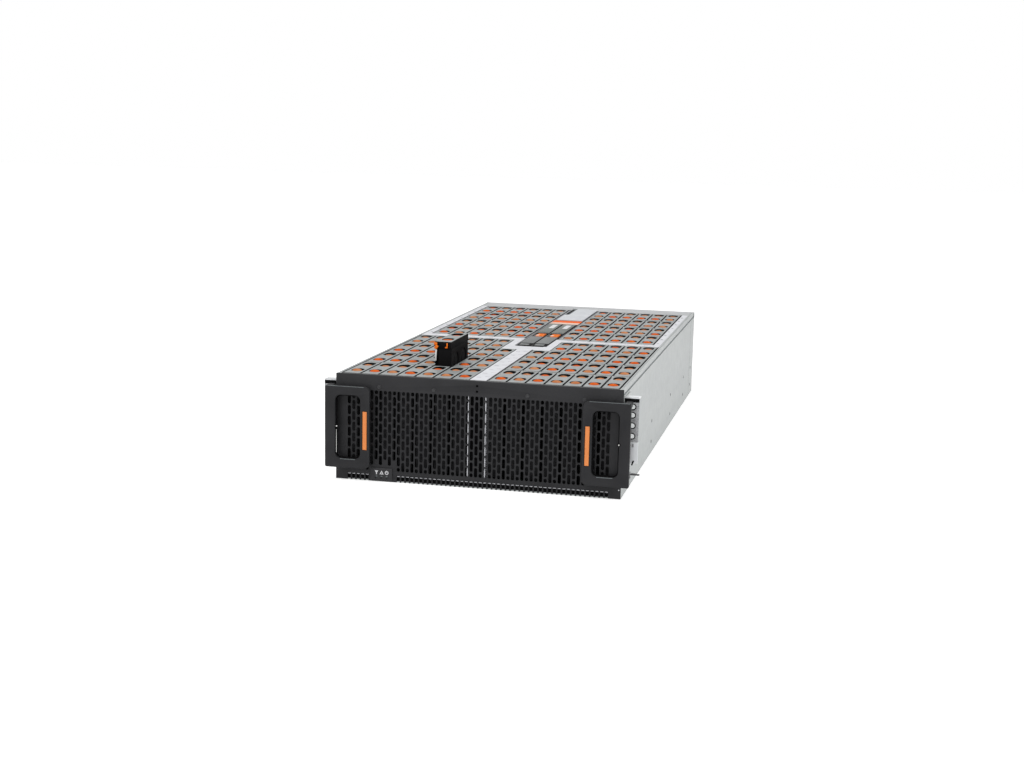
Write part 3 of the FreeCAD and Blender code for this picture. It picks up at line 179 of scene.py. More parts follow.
def finish(name, colour, other, rough=0.5, metal=0.0, grain=200.0, stretch=(1, 1, 1),
           bump=0.1, mottle=3.0, coat=0.0, wear_and_rim_light=0.0, spangle=0.0, gloss=0.5):
    """A procedural finish: two close colours mixed by noise, uneven roughness and a fine bump.

    Edge lightening is partly worn edges and partly a painted highlight along the rims; spangle is the share
    of zinc plating's crystal pattern.
    """
    made = bpy.data.materials.new(name)
    made.use_nodes = True
    tree = made.node_tree
    link = tree.links.new
    shader = tree.nodes["Principled BSDF"]
    shader.inputs["Metallic"].default_value = metal
    shader.inputs["Coat Weight"].default_value = coat
    shader.inputs["Specular IOR Level"].default_value = gloss
    made.diffuse_color = colour
    place = tree.nodes.new("ShaderNodeTexCoord")
    scale = node(tree, "ShaderNodeMapping", Scale=stretch)
    link(place.outputs["Object"], scale.inputs["Vector"])
    patches = node(tree, "ShaderNodeTexNoise", Scale=mottle * 10, Detail=4.0)
    fine = node(tree, "ShaderNodeTexNoise", Scale=grain * 10, Detail=3.0)
    for noise in (patches, fine):
        link(scale.outputs["Vector"], noise.inputs["Vector"])
    blend = tree.nodes.new("ShaderNodeMix")
    blend.data_type = "RGBA"
    blend.inputs[6].default_value = colour
    blend.inputs[7].default_value = other
    last = blend.outputs[2]
    spread = node(tree, "ShaderNodeMapRange", From_Min=0.35, From_Max=0.65)
    link(patches.outputs["Fac"], spread.inputs["Value"])
    link(spread.outputs["Result"], blend.inputs[0])
    if spangle:
        cells = node(tree, "ShaderNodeTexVoronoi", Scale=90.0)
        link(place.outputs["Object"], cells.inputs["Vector"])
        light = tree.nodes.new("ShaderNodeMix")
        light.data_type = "RGBA"
        light.blend_type = "SOFT_LIGHT"
        light.inputs[0].default_value = spangle
        link(last, light.inputs[6])
        grey = tree.nodes.new("ShaderNodeRGBToBW")
        link(cells.outputs["Color"], grey.inputs["Color"])
        link(grey.outputs["Val"], light.inputs[7])
        last = light.outputs[2]
    # edges lightened: partly worn, partly a painted highlight on the rims
    if wear_and_rim_light:
        edges = tree.nodes.new("ShaderNodeNewGeometry")
        sharp = node(tree, "ShaderNodeMapRange", From_Min=0.53, From_Max=0.62, To_Max=wear_and_rim_light)
        link(edges.outputs["Pointiness"], sharp.inputs["Value"])
        rim_lighten = tree.nodes.new("ShaderNodeMix")
        rim_lighten.data_type = "RGBA"
        rim_lighten.inputs[7].default_value = tuple(min(1, c * 1.8 + 0.05) for c in colour[:3]) + (1.0,)
        link(sharp.outputs["Result"], rim_lighten.inputs[0])
        link(last, rim_lighten.inputs[6])
        last = rim_lighten.outputs[2]
    link(last, shader.inputs["Base Color"])
    uneven = node(tree, "ShaderNodeMapRange", To_Min=max(0.02, rough - 0.07), To_Max=rough + 0.07)
    link(fine.outputs["Fac"], uneven.inputs["Value"])
    link(uneven.outputs["Result"], shader.inputs["Roughness"])
    relief = node(tree, "ShaderNodeBump", Strength=bump, Distance=0.0004)
    link(fine.outputs["Fac"], relief.inputs["Height"])
    link(relief.outputs["Normal"], shader.inputs["Normal"])
    return made


def make_finishes():
    """All finishes, under short names."""
    return {
        "side": finish("side_sheet", linear(174, 178, 177), linear(168, 172, 172), rough=0.42, metal=0.15,
                       grain=60, stretch=(1, 0.06, 1), bump=0.04, spangle=0.1),
        # grey for seams, rivets and status spots, and for painted light: shade in the sides' step and
        # highlights on the ears' rims
        "seam": finish("grey_marks_and_painted_light", linear(120, 126, 128), linear(104, 110, 112), rough=0.6, bump=0.02),
        "black": finish("black_powder", linear(44, 44, 46), linear(38, 38, 40), rough=0.5, grain=350,
                        bump=0.25, wear_and_rim_light=0.4, gloss=0.18),
        "ear": finish("ear_plastic", linear(43, 43, 45), linear(36, 36, 38), rough=0.45, grain=300,
                      bump=0.18, wear_and_rim_light=0.4, gloss=0.16),
        "screw": finish("dark_screw", linear(92, 92, 94), linear(74, 74, 76), rough=0.35, metal=0.6,
                        bump=0.05),
        "zinc": finish("zinc_sheet", linear(206, 210, 214), linear(196, 200, 205), rough=0.36, metal=0.35,
                       grain=80, bump=0.05, spangle=0.2),
        "rough_zinc": finish("rough_zinc", linear(178, 179, 181), linear(134, 135, 137), rough=0.5, metal=0.3,
                             grain=160, mottle=60, bump=0.2, spangle=0.35),
        "deck": finish("deck_sheet", linear(178, 180, 182), linear(170, 172, 174), rough=0.38, metal=0.3,
                       grain=80, bump=0.05, spangle=0.2),
        # painted light: a brighter zinc for the bracket's lower flange and its top lip
        "bright": finish("painted_light_zinc", linear(236, 238, 240), linear(224, 226, 229), rough=0.4, metal=0.1,
                         bump=0.03),
        "white": finish("white_strip", linear(224, 225, 230), linear(215, 216, 221), rough=0.45, metal=0.1,
                        grain=90, bump=0.04, spangle=0.1),
        "cap": finish("cap_plastic", linear(154, 158, 158), linear(140, 145, 145), rough=0.5, grain=300,
                      bump=0.15, wear_and_rim_light=0.4),
        "body": finish("drive_black", linear(15, 15, 16), linear(10, 10, 11), rough=0.6, grain=250,
                       bump=0.2, wear_and_rim_light=0.2, gloss=0.08),
        "carrier": finish("carrier_black", linear(21, 21, 22), linear(14, 14, 15), rough=0.7, grain=250,
                          bump=0.15, wear_and_rim_light=0.1, gloss=0.03),
        "drive_front": finish("drive_front", linear(34, 34, 36), linear(18, 18, 20), rough=0.55, mottle=12,
                              bump=0.1, gloss=0.15),
        # black for dark parts and for painted shade: behind the grille and in gaps, holes, window rims and
        # recesses
        "black_and_shade": finish("black_and_painted_shade", linear(10, 10, 11), linear(6, 6, 7), rough=0.8, bump=0.1,
                         gloss=0.1),
        "latch": finish("latch_orange", linear(252, 128, 38), linear(242, 108, 26), rough=0.6, grain=260,
                        mottle=9, bump=0.12, wear_and_rim_light=0.2, gloss=0.05),
        "pad": finish("pad_orange", linear(222, 104, 36), linear(204, 84, 28), rough=0.6, grain=260,
                      mottle=9, bump=0.12, gloss=0.05),
        "pad_dull": finish("pad_dull", linear(204, 138, 94), linear(184, 112, 70), rough=0.6, grain=260,
                           mottle=9, bump=0.12, gloss=0.05),
        "bar": finish("bar_orange", linear(218, 118, 48), linear(208, 108, 42), rough=0.4, grain=260,
                      bump=0.12, wear_and_rim_light=0.4),
        "strap": finish("strap_orange", linear(252, 106, 8), linear(246, 96, 6), rough=0.5, grain=200,
                        stretch=(0.2, 1, 1), bump=0.1, gloss=0.05),
        "strap_pale": finish("strap_pale", linear(244, 212, 194), linear(238, 196, 174), rough=0.4, bump=0.1,
                             gloss=0.2),
        "module": finish("module_grey", linear(101, 104, 104), linear(88, 91, 92), rough=0.45, metal=0.1,
                         grain=200, bump=0.08, wear_and_rim_light=0.2, gloss=0.3),
        "module_dark": finish("module_dark", linear(95, 100, 95), linear(84, 89, 84), rough=0.45,
                              grain=200, bump=0.08, wear_and_rim_light=0.2, gloss=0.3),
        "label": finish("blank_label", linear(232, 232, 232), linear(222, 222, 224), rough=0.5, bump=0.03),
        "print": finish("print_grey", linear(188, 182, 190), linear(176, 172, 180), rough=0.6, bump=0.02),
        "icon": finish("icon_white", linear(222, 222, 224), linear(206, 206, 208), rough=0.5, bump=0.02),
        "steel": finish("bright_steel", linear(205, 205, 202), linear(186, 186, 184), rough=0.28, metal=0.9,
                        grain=120, stretch=(1, 0.04, 1), bump=0.06),
        "wire": finish("black_wire", linear(18, 18, 19), linear(12, 12, 13), rough=0.35, bump=0.05),
        "board": finish("circuit_board", linear(38, 92, 58), linear(30, 78, 48), rough=0.4, bump=0.08,
                        coat=0.3),
        "brass": finish("brass", linear(206, 176, 104), linear(190, 160, 92), rough=0.3, metal=0.9,
                        bump=0.04),
        "supply": finish("supply_metal", linear(180, 182, 182), linear(168, 170, 171), rough=0.36, metal=0.5,
                         grain=100, bump=0.05, spangle=0.2),
        "pipe": finish("light_pipe", linear(132, 138, 136), linear(112, 118, 116), rough=0.2, bump=0.02,
                       coat=0.5),
    }


FINISH = make_finishes()

# Finish of each CAD node, also of those that a piece stands in for
NODE_FINISH = {
    "chassis_pan": "side", "rear_panel": "side", "panel_screws": "black", "light_pipes": "pipe",
    "centre_channel": "white", "module_bay": "white", "cross_beams": "white", "side_channels": "white",
    # the bay guides are black as painted shade in the gaps between the drives
    "rear_deck": "deck", "fan_shelf": "zinc", "bay_guides": "black_and_shade", "port_shells": "steel",
    "port_board": "board", "baseboard_front": "board", "baseboard_rear": "board", "standoffs": "brass",
    "connector_rows": "body", "module_cover": "zinc", "rack_bracket_left": "rough_zinc",
    "rack_bracket_right": "rough_zinc", "hook_bracket_left": "rough_zinc", "hook_bracket_right": "rough_zinc",
    "slam_hook_left": "screw", "slam_hook_right": "screw", "ear_trigger_left": "bar",
    "ear_trigger_right": "bar", "lifted_disk": "body", "lifted_carrier": "body", "lifted_leaf": "steel",
    "lifted_latch": "latch", "lifted_cap": "cap", "module_left": "wire", "module_right": "wire",
    "module_lever_left": "latch", "module_lever_right": "latch", "module_bail_left": "wire",
    "module_bail_right": "wire", "pull_strap": "strap", "power_supply_left": "supply",
    "power_supply_right": "supply", "supply_catch_left": "latch", "supply_catch_right": "latch",
    "status_block": "ear", "ear_handle_left": "ear", "ear_handle_right": "ear", "front_panel": "black",
    "drives_front_left": "body", "drives_front_right": "body", "drives_rear_left": "body",
    "drives_rear_right": "body",
}


def dress_nodes():
    """Gives the CAD nodes their finishes."""
    for index in range(1, 5):
        NODE_FINISH[f"fan_housing_{index}"] = "ear"
        NODE_FINISH[f"fan_rotor_{index}"] = "body"
    for name, key in NODE_FINISH.items():
        mesh = NODES[name].data
        mesh.materials.clear()
        mesh.materials.append(FINISH[key])


# ---------------------------------------------------------------- mesh helpers
def piece(name, mesh, body, slot, *hidden):
    """Links a mesh as a piece that rides on a body and may replace nodes. The slot is not used."""
    made = bpy.data.objects.new(name, mesh)
    bpy.context.scene.collection.objects.link(made)
    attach(made, body)
    if hidden:
        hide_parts(*hidden)


def around(centre, reach):
    """Span that reaches equally far to both sides."""
    return centre - reach, centre + reach


def wider(span, extra):
    """Span made longer at both ends."""
    return span[0] - extra, span[1] + extra


def mirrored(side, near, far):
    """Span in x at one side of the centre plane, its low end first."""
    return sorted((side * near, side * far))


def spaced(first, pitch, count):
    """Places at a pitch."""
    return [first + pitch * step for step in range(count)]


def outline_rounded(x, y, radius, steps=6):
    """Points of a rounded rectangle, anticlockwise. Four radii start at high x, high y."""
    radii = [radius] * 4 if isinstance(radius, (int, float)) else radius
    corners = ((x[1], y[1], -1, -1), (x[0], y[1], 1, -1), (x[0], y[0], 1, 1), (x[1], y[0], -1, 1))
    points = []
    for quarter, ((cx, cy, inward_x, inward_y), size) in enumerate(zip(corners, radii)):
        for step in range(steps + 1):
            angle = (quarter + step / steps) * math.pi / 2
            points.append((cx + inward_x * size + size * math.cos(angle),
                           cy + inward_y * size + size * math.sin(angle)))
    return points


def outline_circle(x, y, radius, steps=24):
    """Points of a circle, anticlockwise."""
    return [(x + radius * math.cos(2 * math.pi * k / steps), y + radius * math.sin(2 * math.pi * k / steps))
            for k in range(steps)]


def plate(outlines, thickness, bevel, materials):
    """Flat plate of closed outlines in local XY with the holes cut out, its edges rounded over.

    The plate is centred on local z = 0. Lengths are millimetres.
    """
    curve = bpy.data.curves.new("outline", "CURVE")
    curve.dimensions = "2D"
    curve.fill_mode = "BOTH"
    curve.extrude = (thickness / 2 - bevel) * MM
    curve.bevel_depth = bevel * MM
    curve.bevel_resolution = 1
    curve.offset = -bevel * MM
    for points in outlines:
        spline = curve.splines.new("POLY")
        spline.points.add(len(points) - 1)
        for point, (x, y) in zip(spline.points, points):
            point.co = (x * MM, y * MM, 0, 1)
        spline.use_cyclic_u = True
    holder = bpy.data.objects.new("outline", curve)
    bpy.context.scene.collection.objects.link(holder)
    mesh = bpy.data.meshes.new_from_object(holder)
    bpy.data.objects.remove(holder)
    bpy.data.curves.remove(curve)
    mesh.materials.clear()
    for material in materials:
        mesh.materials.append(material)
    return mesh


def upright(mesh, y):
    """Turns a flat plate to stand in the XZ plane at y."""
    mesh.transform(Matrix.Translation((0, y * MM, 0)) @ Matrix.Rotation(math.pi / 2, 4, "X"))
    return mesh


def lay(mesh, z):
    """Moves a flat plate to a height."""
    mesh.transform(Matrix.Translation((0, 0, z * MM)))
    return mesh


def paint_edges(mesh, index):
    """Gives the upright faces of a flat plate the material of that index."""
    for polygon in mesh.polygons:
        if abs(polygon.normal.z) < 0.5:
            polygon.material_index = index
    return mesh


def smooth(mesh):
    """Smooth shading with sharp edges where faces meet at more than SMOOTH_ANGLE."""
    made = bmesh.new()
    made.from_mesh(mesh)
    bmesh.ops.remove_doubles(made, verts=made.verts, dist=1e-6)
    limit = math.radians(SMOOTH_ANGLE)
    for edge in made.edges:
        edge.smooth = len(edge.link_faces) == 2 and edge.calc_face_angle(0) < limit
    for face in made.faces:
        face.smooth = True
    made.to_mesh(mesh)
    made.free()
    return mesh


class Build:
    """Collects boxes, tubes and other small forms into one mesh, in millimetres."""

    def __init__(self, *materials):
        self.mesh = bmesh.new()
        self.materials = materials

    def box(self, x, y, z, bevel=0.0, material=0, turn=None):
        """Box over three spans with rounded edges, turned about its centre by Euler angles."""
        centre = Vector(((x[0] + x[1]) / 2, (y[0] + y[1]) / 2, (z[0] + z[1]) / 2)) * MM
        size = Vector((abs(x[1] - x[0]), abs(y[1] - y[0]), abs(z[1] - z[0]))) * MM
        rotation = Euler(turn).to_matrix().to_4x4() if turn else Matrix.Identity(4)
        place = Matrix.Translation(centre) @ rotation @ Matrix.Diagonal((*size, 1))
        made = bmesh.ops.create_cube(self.mesh, size=1, matrix=place)
        verts = made["verts"]
        faces = {face for vert in verts for face in vert.link_faces}
        for face in faces:
            face.material_index = material
        if bevel:
            edges = {edge for vert in verts for edge in vert.link_edges}
            bmesh.ops.bevel(self.mesh, geom=list(edges), offset=bevel * MM, segments=2,
                            affect="EDGES", profile=0.5, material=material)

    def cylinder(self, radius, start, end, material=0, steps=24, far_radius=None):
        """Cylinder between two points, or a cone when its far radius is another one."""
        start, end = Vector(start) * MM, Vector(end) * MM
        axis = end - start
        place = Matrix.Translation((start + end) / 2) @ axis.to_track_quat("Z", "Y").to_matrix().to_4x4()
        far = radius if far_radius is None else far_radius
        made = bmesh.ops.create_cone(self.mesh, cap_ends=True, segments=steps, radius1=radius * MM,
                                     radius2=far * MM, depth=axis.length, matrix=place)
        for face in {face for vert in made["verts"] for face in vert.link_faces}:
            face.material_index = material

    def add(self, mesh, material=0, place=None):
        """Adds a copy of a ready mesh, all in one material."""
        copy = mesh.copy()
        copy.polygons.foreach_set("material_index", [material] * len(copy.polygons))
        if place:
            copy.transform(place)
        self.mesh.from_mesh(copy)
        bpy.data.meshes.remove(copy)

    def slab(self, outlines, z, bevel=0.1, material=0):
        """Flat plate between two heights."""
        self.add(lay(plate(outlines, z[1] - z[0], bevel, []), (z[0] + z[1]) / 2), material)

    def sheet(self, outlines, y, bevel=0.1, material=0):
        """Upright plate between two depths, its outlines in X and Z."""
        self.add(upright(plate(outlines, y[1] - y[0], bevel, []), (y[0] + y[1]) / 2), material)

    def done(self, name):
        """The finished mesh."""
        mesh = bpy.data.meshes.new(name)
        bmesh.ops.recalc_face_normals(self.mesh, faces=self.mesh.faces)
        self.mesh.to_mesh(mesh)
        self.mesh.free()
        for material in self.materials:
            mesh.materials.append(material)
        return smooth(mesh)

    def put(self, name, body, slot, *hidden):
        """Finishes the mesh as a piece."""
        piece(name, self.done(name), body, slot, *hidden)


# ---------------------------------------------------------------- front
def slot_spans(index):
    """Heights of the slots of one grille column."""
    web = SLOT_PITCH_Z - SLOT_HEIGHT
    even = index % 2 == 0
    top = SLOT_TOP - (SHORT_SLOT + web if even else 0)
    spans = [(top - row * SLOT_PITCH_Z - SLOT_HEIGHT, top - row * SLOT_PITCH_Z) for row in range(SLOT_ROWS)]
    bottom = SLOT_TOP - SHORT_SLOT - SLOT_ROWS * SLOT_PITCH_Z
    spans.append((SLOT_TOP - SHORT_SLOT, SLOT_TOP) if even else (bottom, bottom + SHORT_SLOT))
    return spans


def front_grille():
    """Front panel with its slots, open bottom vents, top return, painted glints on the screw heads and what
    shows through it, partly black sheets of painted shade.
    """
    low, high = (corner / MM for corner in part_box("front_panel"))
    status_low, status_high = (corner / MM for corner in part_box("status_block"))
    slots = []
    edge = [(low.x, low.z)]
    for index in range(-SLOT_COLUMNS, SLOT_COLUMNS + 1):
        x = index * SLOT_PITCH_X
        across = around(x, SLOT_WIDTH / 2)
        over_status = status_low.x - STATUS_ROOM < x < status_high.x + STATUS_ROOM
        for span in slot_spans(index):
            if not over_status or span[0] > status_high.z:
                slots.append(outline_rounded(across, span, SLOT_CORNER, 4))
        if not over_status:
            edge += [(across[0], low.z), (across[0], VENT_TOP - VENT_PEAK), (x, VENT_TOP),
                     (across[1], VENT_TOP - VENT_PEAK), (across[1], low.z)]
    edge += [(high.x, low.z), (high.x, high.z), (low.x, high.z)]
    holes = [outline_circle(0, z, 1.8, 12) for z in PANEL_HOLES_Z]
    build = Build(FINISH["black"], FINISH["white"], FINISH["black_and_shade"])
    build.sheet([edge] + slots + holes, (low.y, low.y + PANEL_SHEET), 0.25)
    build.box((low.x + 7.5, high.x - 7.5), (low.y + 1.4, high.y), (164.5, 166.0), 0.3)
    build.box((low.x + 2, high.x - 2), (low.y + 2.2, low.y + 3.0), (8.3, 9.7), 0.2, 1)
    # painted shade: black sheets behind the vents and behind the middle slots
    build.box((low.x + 2.5, high.x - 2.5), (low.y + 4.0, low.y + 4.6), (1.4, 8.2), 0, 2)
    build.box((-12.3, 12.3), (high.y - 1.6, high.y - 1.0), (12.0, 163.0), 0, 2)
    for x in (-LIGHT_LINE_X, LIGHT_LINE_X):
        build.box(around(x, 0.6), (low.y + 1.8, low.y + 2.2), (17.5, 141.5), 0, 1)
    # painted glints: a tiny light dot on each panel screw and on the corner screw
    screw_glints = [(share * SIDE + 0.6, SCREW_Z, 0.9) for share in SCREW_SHARES] + [(*CORNER_SCREW, 1.0)]
    for x, z, radius in screw_glints:
        build.cylinder(radius, (x, low.y - 0.9, z), (x, low.y - 1.0, z), 1, 12)
    build.put("front_grille", "chassis", "black_sheet", "front_panel")


def status_panel():
    """Status block with three plain marks and a dim spot below each."""
    low, high = (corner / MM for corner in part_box("status_block"))
    build = Build(FINISH["black"], FINISH["icon"], FINISH["seam"])
    build.box((low.x, high.x), (low.y, high.y), (low.z, high.z), 0.5)
    face = (low.y - 0.15, low.y + 0.3)
    z = MARK_Z
    left, middle, right = ((low.x + high.x) / 2 + 0.6 + step * MARK_PITCH for step in (-1, 0, 1))
    for x in (left, middle, right):
        build.box(around(x, 1.3), face, (z - 6.6, z - 5.2), 0, 2)
    build.sheet([[(left - 3, z + 3), (left - 0.8, z - 0.2), (left - 0.8, z - 3), (left + 0.8, z - 3),
                  (left + 0.8, z - 0.2), (left + 3, z + 3)]], face, 0.05, 1)
    build.sheet([[(middle - 3.3, z - 2.8), (middle + 3.3, z - 2.8), (middle, z + 3.2)],
                 [(middle - 1.3, z - 1.6), (middle + 1.3, z - 1.6), (middle, z + 0.8)]], face, 0.05, 1)
    build.sheet([outline_circle(right, z, 3.0, 20), outline_circle(right, z, 1.7, 20)], face, 0.05, 1)
    build.box(around(right, 0.5), face, (z + 0.6, z + 3.4), 0, 1)
    build.put("status_panel", "chassis", "black_plastic", "status_block")


# ---------------------------------------------------------------- drives
def bay_x(bank, side, column):
    """Middle of a column of drives."""
    return side * (BANKS[bank][2] + (column + 0.5) * COLUMN_PITCH)


def bay_y(bank, row):
    """Middle of a row of drives."""
    return BANKS[bank][0] + (row + 0.5) * ROW_PITCH


def bays(bank, side):
    """Places of the seated drives of one quarter of the shelf, and whether they stand in its first row."""
    for row in range(ROWS):
        for column in range(BANKS[bank][1]):
            taken = bank == "front" and row == ROWS - 1 and column == 0
            if not taken and (bank, side, column, row) != LIFTED:
                yield bay_x(bank, side, column), bay_y(bank, row), row == 0


LIFTED_AT = (bay_x(*LIFTED[:3]), bay_y(LIFTED[0], LIFTED[3]))


def hole_places(y):
    """Places in y of the two finger holes of a drive."""
    return around(y, ROW_PITCH / 2 - HOLE_OFFSET)


def cap_outlines(x, y):
    """Outline of a drive's cap and of its two finger holes."""
    outlines = [outline_rounded(around(x, CAP_WIDTH / 2), around(y, CAP_LENGTH / 2), 1.4, 3)]
    for centre, reach_back in zip(hole_places(y), HOLE_REACH):
        outlines.append(outline_rounded(around(x, HOLE_RADIUS),
                                        (centre - HOLE_RADIUS, centre + HOLE_RADIUS + reach_back),
                                        HOLE_RADIUS - 0.01, 7))
    return outlines


def cap_plate(outlines, top):
    """Caps of one sheet whose upper side lies at top, dark at the edges: painted shade in the gaps between
    the caps.
    """
    plain = plate(outlines, CAP_SHEET, 0.3, [FINISH["cap"], FINISH["body"]])
    return paint_edges(smooth(lay(plain, top - CAP_SHEET / 2)), 1)


def pad_mesh(rings):
    """Domed disc of a latch about the origin, through rings of a radius and a height."""
    made = bmesh.new()
    rows = []
    for radius, z in rings:
        rows.append([made.verts.new((x * MM, y * MM, z * MM))
                     for x, y in outline_circle(0, 0, radius, PAD_STEPS)])
    for lower, upper in zip(rows, rows[1:]):
        for k in range(PAD_STEPS):
            after = (k + 1) % PAD_STEPS
            made.faces.new((lower[k], lower[after], upper[after], upper[k]))
    made.faces.new(rows[-1])
    mesh = bpy.data.meshes.new("pad")
    made.to_mesh(mesh)
    made.free()
    return mesh


PAD = pad_mesh(PAD_RINGS)
DOME = pad_mesh(DOME_RINGS)


def add_pads(build, x, y, top):
    """The latch pads under the two finger holes of a drive. Material 1 or 2 is the pad's."""
    for centre, depth, dull in zip(hole_places(y), DOME_DEPTH, DULL_SHARE):
        tilt = Euler((*(math.radians(random.uniform(*span)) for span in DOME_TILT), 0))
        place = Matrix.Translation(Vector((x, centre, top - depth)) * MM) @ tilt.to_matrix().to_4x4()
        build.add(DOME, 2 if random.random() < dull else 1, place)


def drive_quarter(bank, side, name):
    """The seated drives at one side of one bank: caps in one piece, bodies and pads in another."""
    node_name = f"drives_{bank}_{name}"
    low, high = (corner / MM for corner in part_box(node_name))
    top = high.z
    outlines = []
    parts = Build(FINISH["body"], FINISH["pad"], FINISH["pad_dull"], FINISH["drive_front"], FINISH["side"])
    for x, y, first in bays(bank, side):
        outlines += cap_outlines(x, y)
        parts.box(around(x, 13.0), (y - 53.0 + 8 * first, y + 53.5), (low.z, top - 4.0), 1.0)
        parts.box(around(x, 13.2), around(y, 53.6), (top - 4.0, top - 3.4))
        if first:
            parts.box(around(x, 11.2), (y - 53.9, y - 44.5), (low.z, top - 4.0), 0.8, 3)
        add_pads(parts, x, y, top)
        seam, joint = x + COLUMN_PITCH / 2, y + ROW_PITCH / 2
        if abs(seam - LIFTED_AT[0]) > COLUMN_PITCH or abs(joint - LIFTED_AT[1]) > ROW_PITCH:
            parts.box(around(seam, 0.9), around(joint, 6), (top - 4.0, top - 0.6), 0.2, 4)
    piece(f"drive_caps_{bank}_{name}", cap_plate(outlines, top), "chassis", "drive_grey")
    piece(f"drive_bodies_{bank}_{name}", parts.done(node_name), "chassis", "carrier_black", node_name)


def lifted_drive():
    """The drive that stands out of its bay: cap, latch, carrier and earthing leaf."""
    low, high = (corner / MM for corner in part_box("lifted_carrier"))
    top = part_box("lifted_cap")[1].z / MM
    x = (low.x + high.x) / 2
    y = (low.y + high.y) / 2
    piece("lifted_cap_top", cap_plate(cap_outlines(x, y), top), "lifted_drive", "drive_grey")

    head = Build(FINISH["carrier"], FINISH["pad"])
    head.box((low.x + 0.1, high.x - 0.1), (low.y + 5.5, high.y - 0.2), (high.z, top - 3.4), 0.6)
    head.box((x - 6.5, x + 5.0), (low.y + 0.2, low.y + 6.0), (high.z, top - 3.2), 1.2)
    sunk = (hole_places(y)[1] - 10.0, hole_places(y)[1] + 18.0)
    head.box((low.x + 0.3, high.x - 0.3), (low.y + 0.3, sunk[0]), (top - 3.4, top - 1.1))
    head.box((low.x + 0.3, high.x - 0.3), (sunk[1], high.y - 0.3), (top - 3.4, top - 1.1))
    for edge in (low.x + 0.3, high.x - 1.5):
        head.box((edge, edge + 1.2), sunk, (top - 3.4, top - 1.1))
    head.box((high.x - 4.2, high.x - 0.4), (low.y + 0.4, low.y + 6.0), (high.z, top - 3.0), 0.6)
    for centre, depth in zip(hole_places(y), PAD_DEPTH):
        head.add(PAD, 1, Matrix.Translation(Vector((x, centre, top - depth)) * MM))
    head.put("lifted_head", "lifted_drive", "carrier_black", "lifted_cap")

    latch = Build(FINISH["latch"], FINISH["carrier"])
    latch.box((low.x - 1.6, low.x + 3.8), (low.y - 1.8, low.y - 0.2), (top - 5.8, top - 1.6), 0.7)
    latch.box((low.x - 0.4, low.x + 4.6), (low.y - 1.8, low.y - 0.2), (top - 12.0, top - 5.4), 0.7,
              turn=(0, 0.6, 0))
    latch.box((x + 5.4, x + 7.6), (low.y - 1.2, low.y - 0.2), (top - 9.0, top - 2.0), 0.5)
    latch.box((x + 3.4, x + 7.2), (low.y - 1.2, low.y - 0.2), (top - 10.4, top - 8.0), 0.5)
    latch.box((low.x + 0.6, x + 7.4), (low.y - 0.6, low.y - 0.2), (top - 8.0, top - 6.0), 0.15, 1)
    latch.box(around(x, 6.0), (low.y + 7.5, low.y + 44.0), (top - 8.4, top - 6.4), 0.6)
    latch.put("lifted_latch_hooks", "drive_latch", "orange_plastic", "lifted_latch")

    carrier = Build(FINISH["carrier"], FINISH["black_and_shade"], FINISH["body"])
    step = (high.z - low.z) / 3
    for way in (-1, 1):
        outer = high.x if way > 0 else low.x
        circles = [(low.y + share * (high.y - low.y), low.z + (row + 0.5) * step)
                   for row in range(3) for share in (0.28, 0.72)]
        outlines = [outline_rounded((low.y + 1.5, high.y - 1.5), (low.z, high.z), 2.0, 3)]
        outlines += [outline_circle(cy, cz, 15.5, 32) for cy, cz in circles]
        skin = plate(outlines, 1.5, 0.3, [])
        turn = Matrix(((0, 0, 1, 0), (1, 0, 0, 0), (0, 1, 0, 0), (0, 0, 0, 1)))
        skin.transform(Matrix.Translation(((outer - way * 0.75) * MM, 0, 0)) @ turn)
        carrier.add(skin, 0)
        for cy, cz in circles:
            # painted shade: a black disc in each round hole of the side
            carrier.cylinder(15.4, (outer - way * 1.5, cy, cz), (outer - way * 1.2, cy, cz), 1, 32)
            carrier.cylinder(9.5, (outer - way * 1.5, cy, cz), (outer - way * 0.5, cy, cz), 0, 28, 8.5)
    carrier.box((low.x + 1.4, high.x - 1.4), (low.y + 4.4, high.y - 4.4), (low.z, high.z), 0.6, 1)
    carrier.box((low.x + 2.6, high.x - 0.2), (low.y, low.y + 4.6), (low.z, high.z - 26), 1.2)
    carrier.box((low.x + 5.6, high.x - 1.0), (low.y + 0.6, low.y + 4.6), (high.z - 28, high.z), 1.4)
    carrier.box((x - 4.0, x + 4.5), (low.y - 0.6, low.y + 2.0), (low.z + 8, high.z - 34), 1.0, 2)
    carrier.box((low.x + 0.2, high.x - 0.2), (high.y - 4.6, high.y), (low.z, high.z), 1.2)
    carrier.put("lifted_carrier_shell", "lifted_drive", "carrier_black", "lifted_carrier", "lifted_disk")

    leaf_low, leaf_high = (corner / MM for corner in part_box("lifted_leaf"))
    leaf = Build(FINISH["label"], FINISH["carrier"])
    leaf.box((low.x + 0.2, low.x + 1.8), (low.y - 0.5, low.y + 3.0), (leaf_low.z, leaf_high.z + 4), 0.4, 1)
    # the leaf in white, lighter than its steel: a painted reflection
    leaf.box((low.x + 0.1, low.x + 2.6), (low.y - 0.6, low.y + 1.0), (top - 31.0, leaf_high.z + 5), 0.3, 0,
             turn=(0, 0.05, 0))
    leaf.box((leaf_low.x, leaf_low.x + 0.6), (leaf_low.y, leaf_high.y),
             (leaf_low.z + 2, leaf_high.z - 2), 0.2, 1)
    leaf.put("lifted_spring", "lifted_drive", "spring_steel", "lifted_leaf")


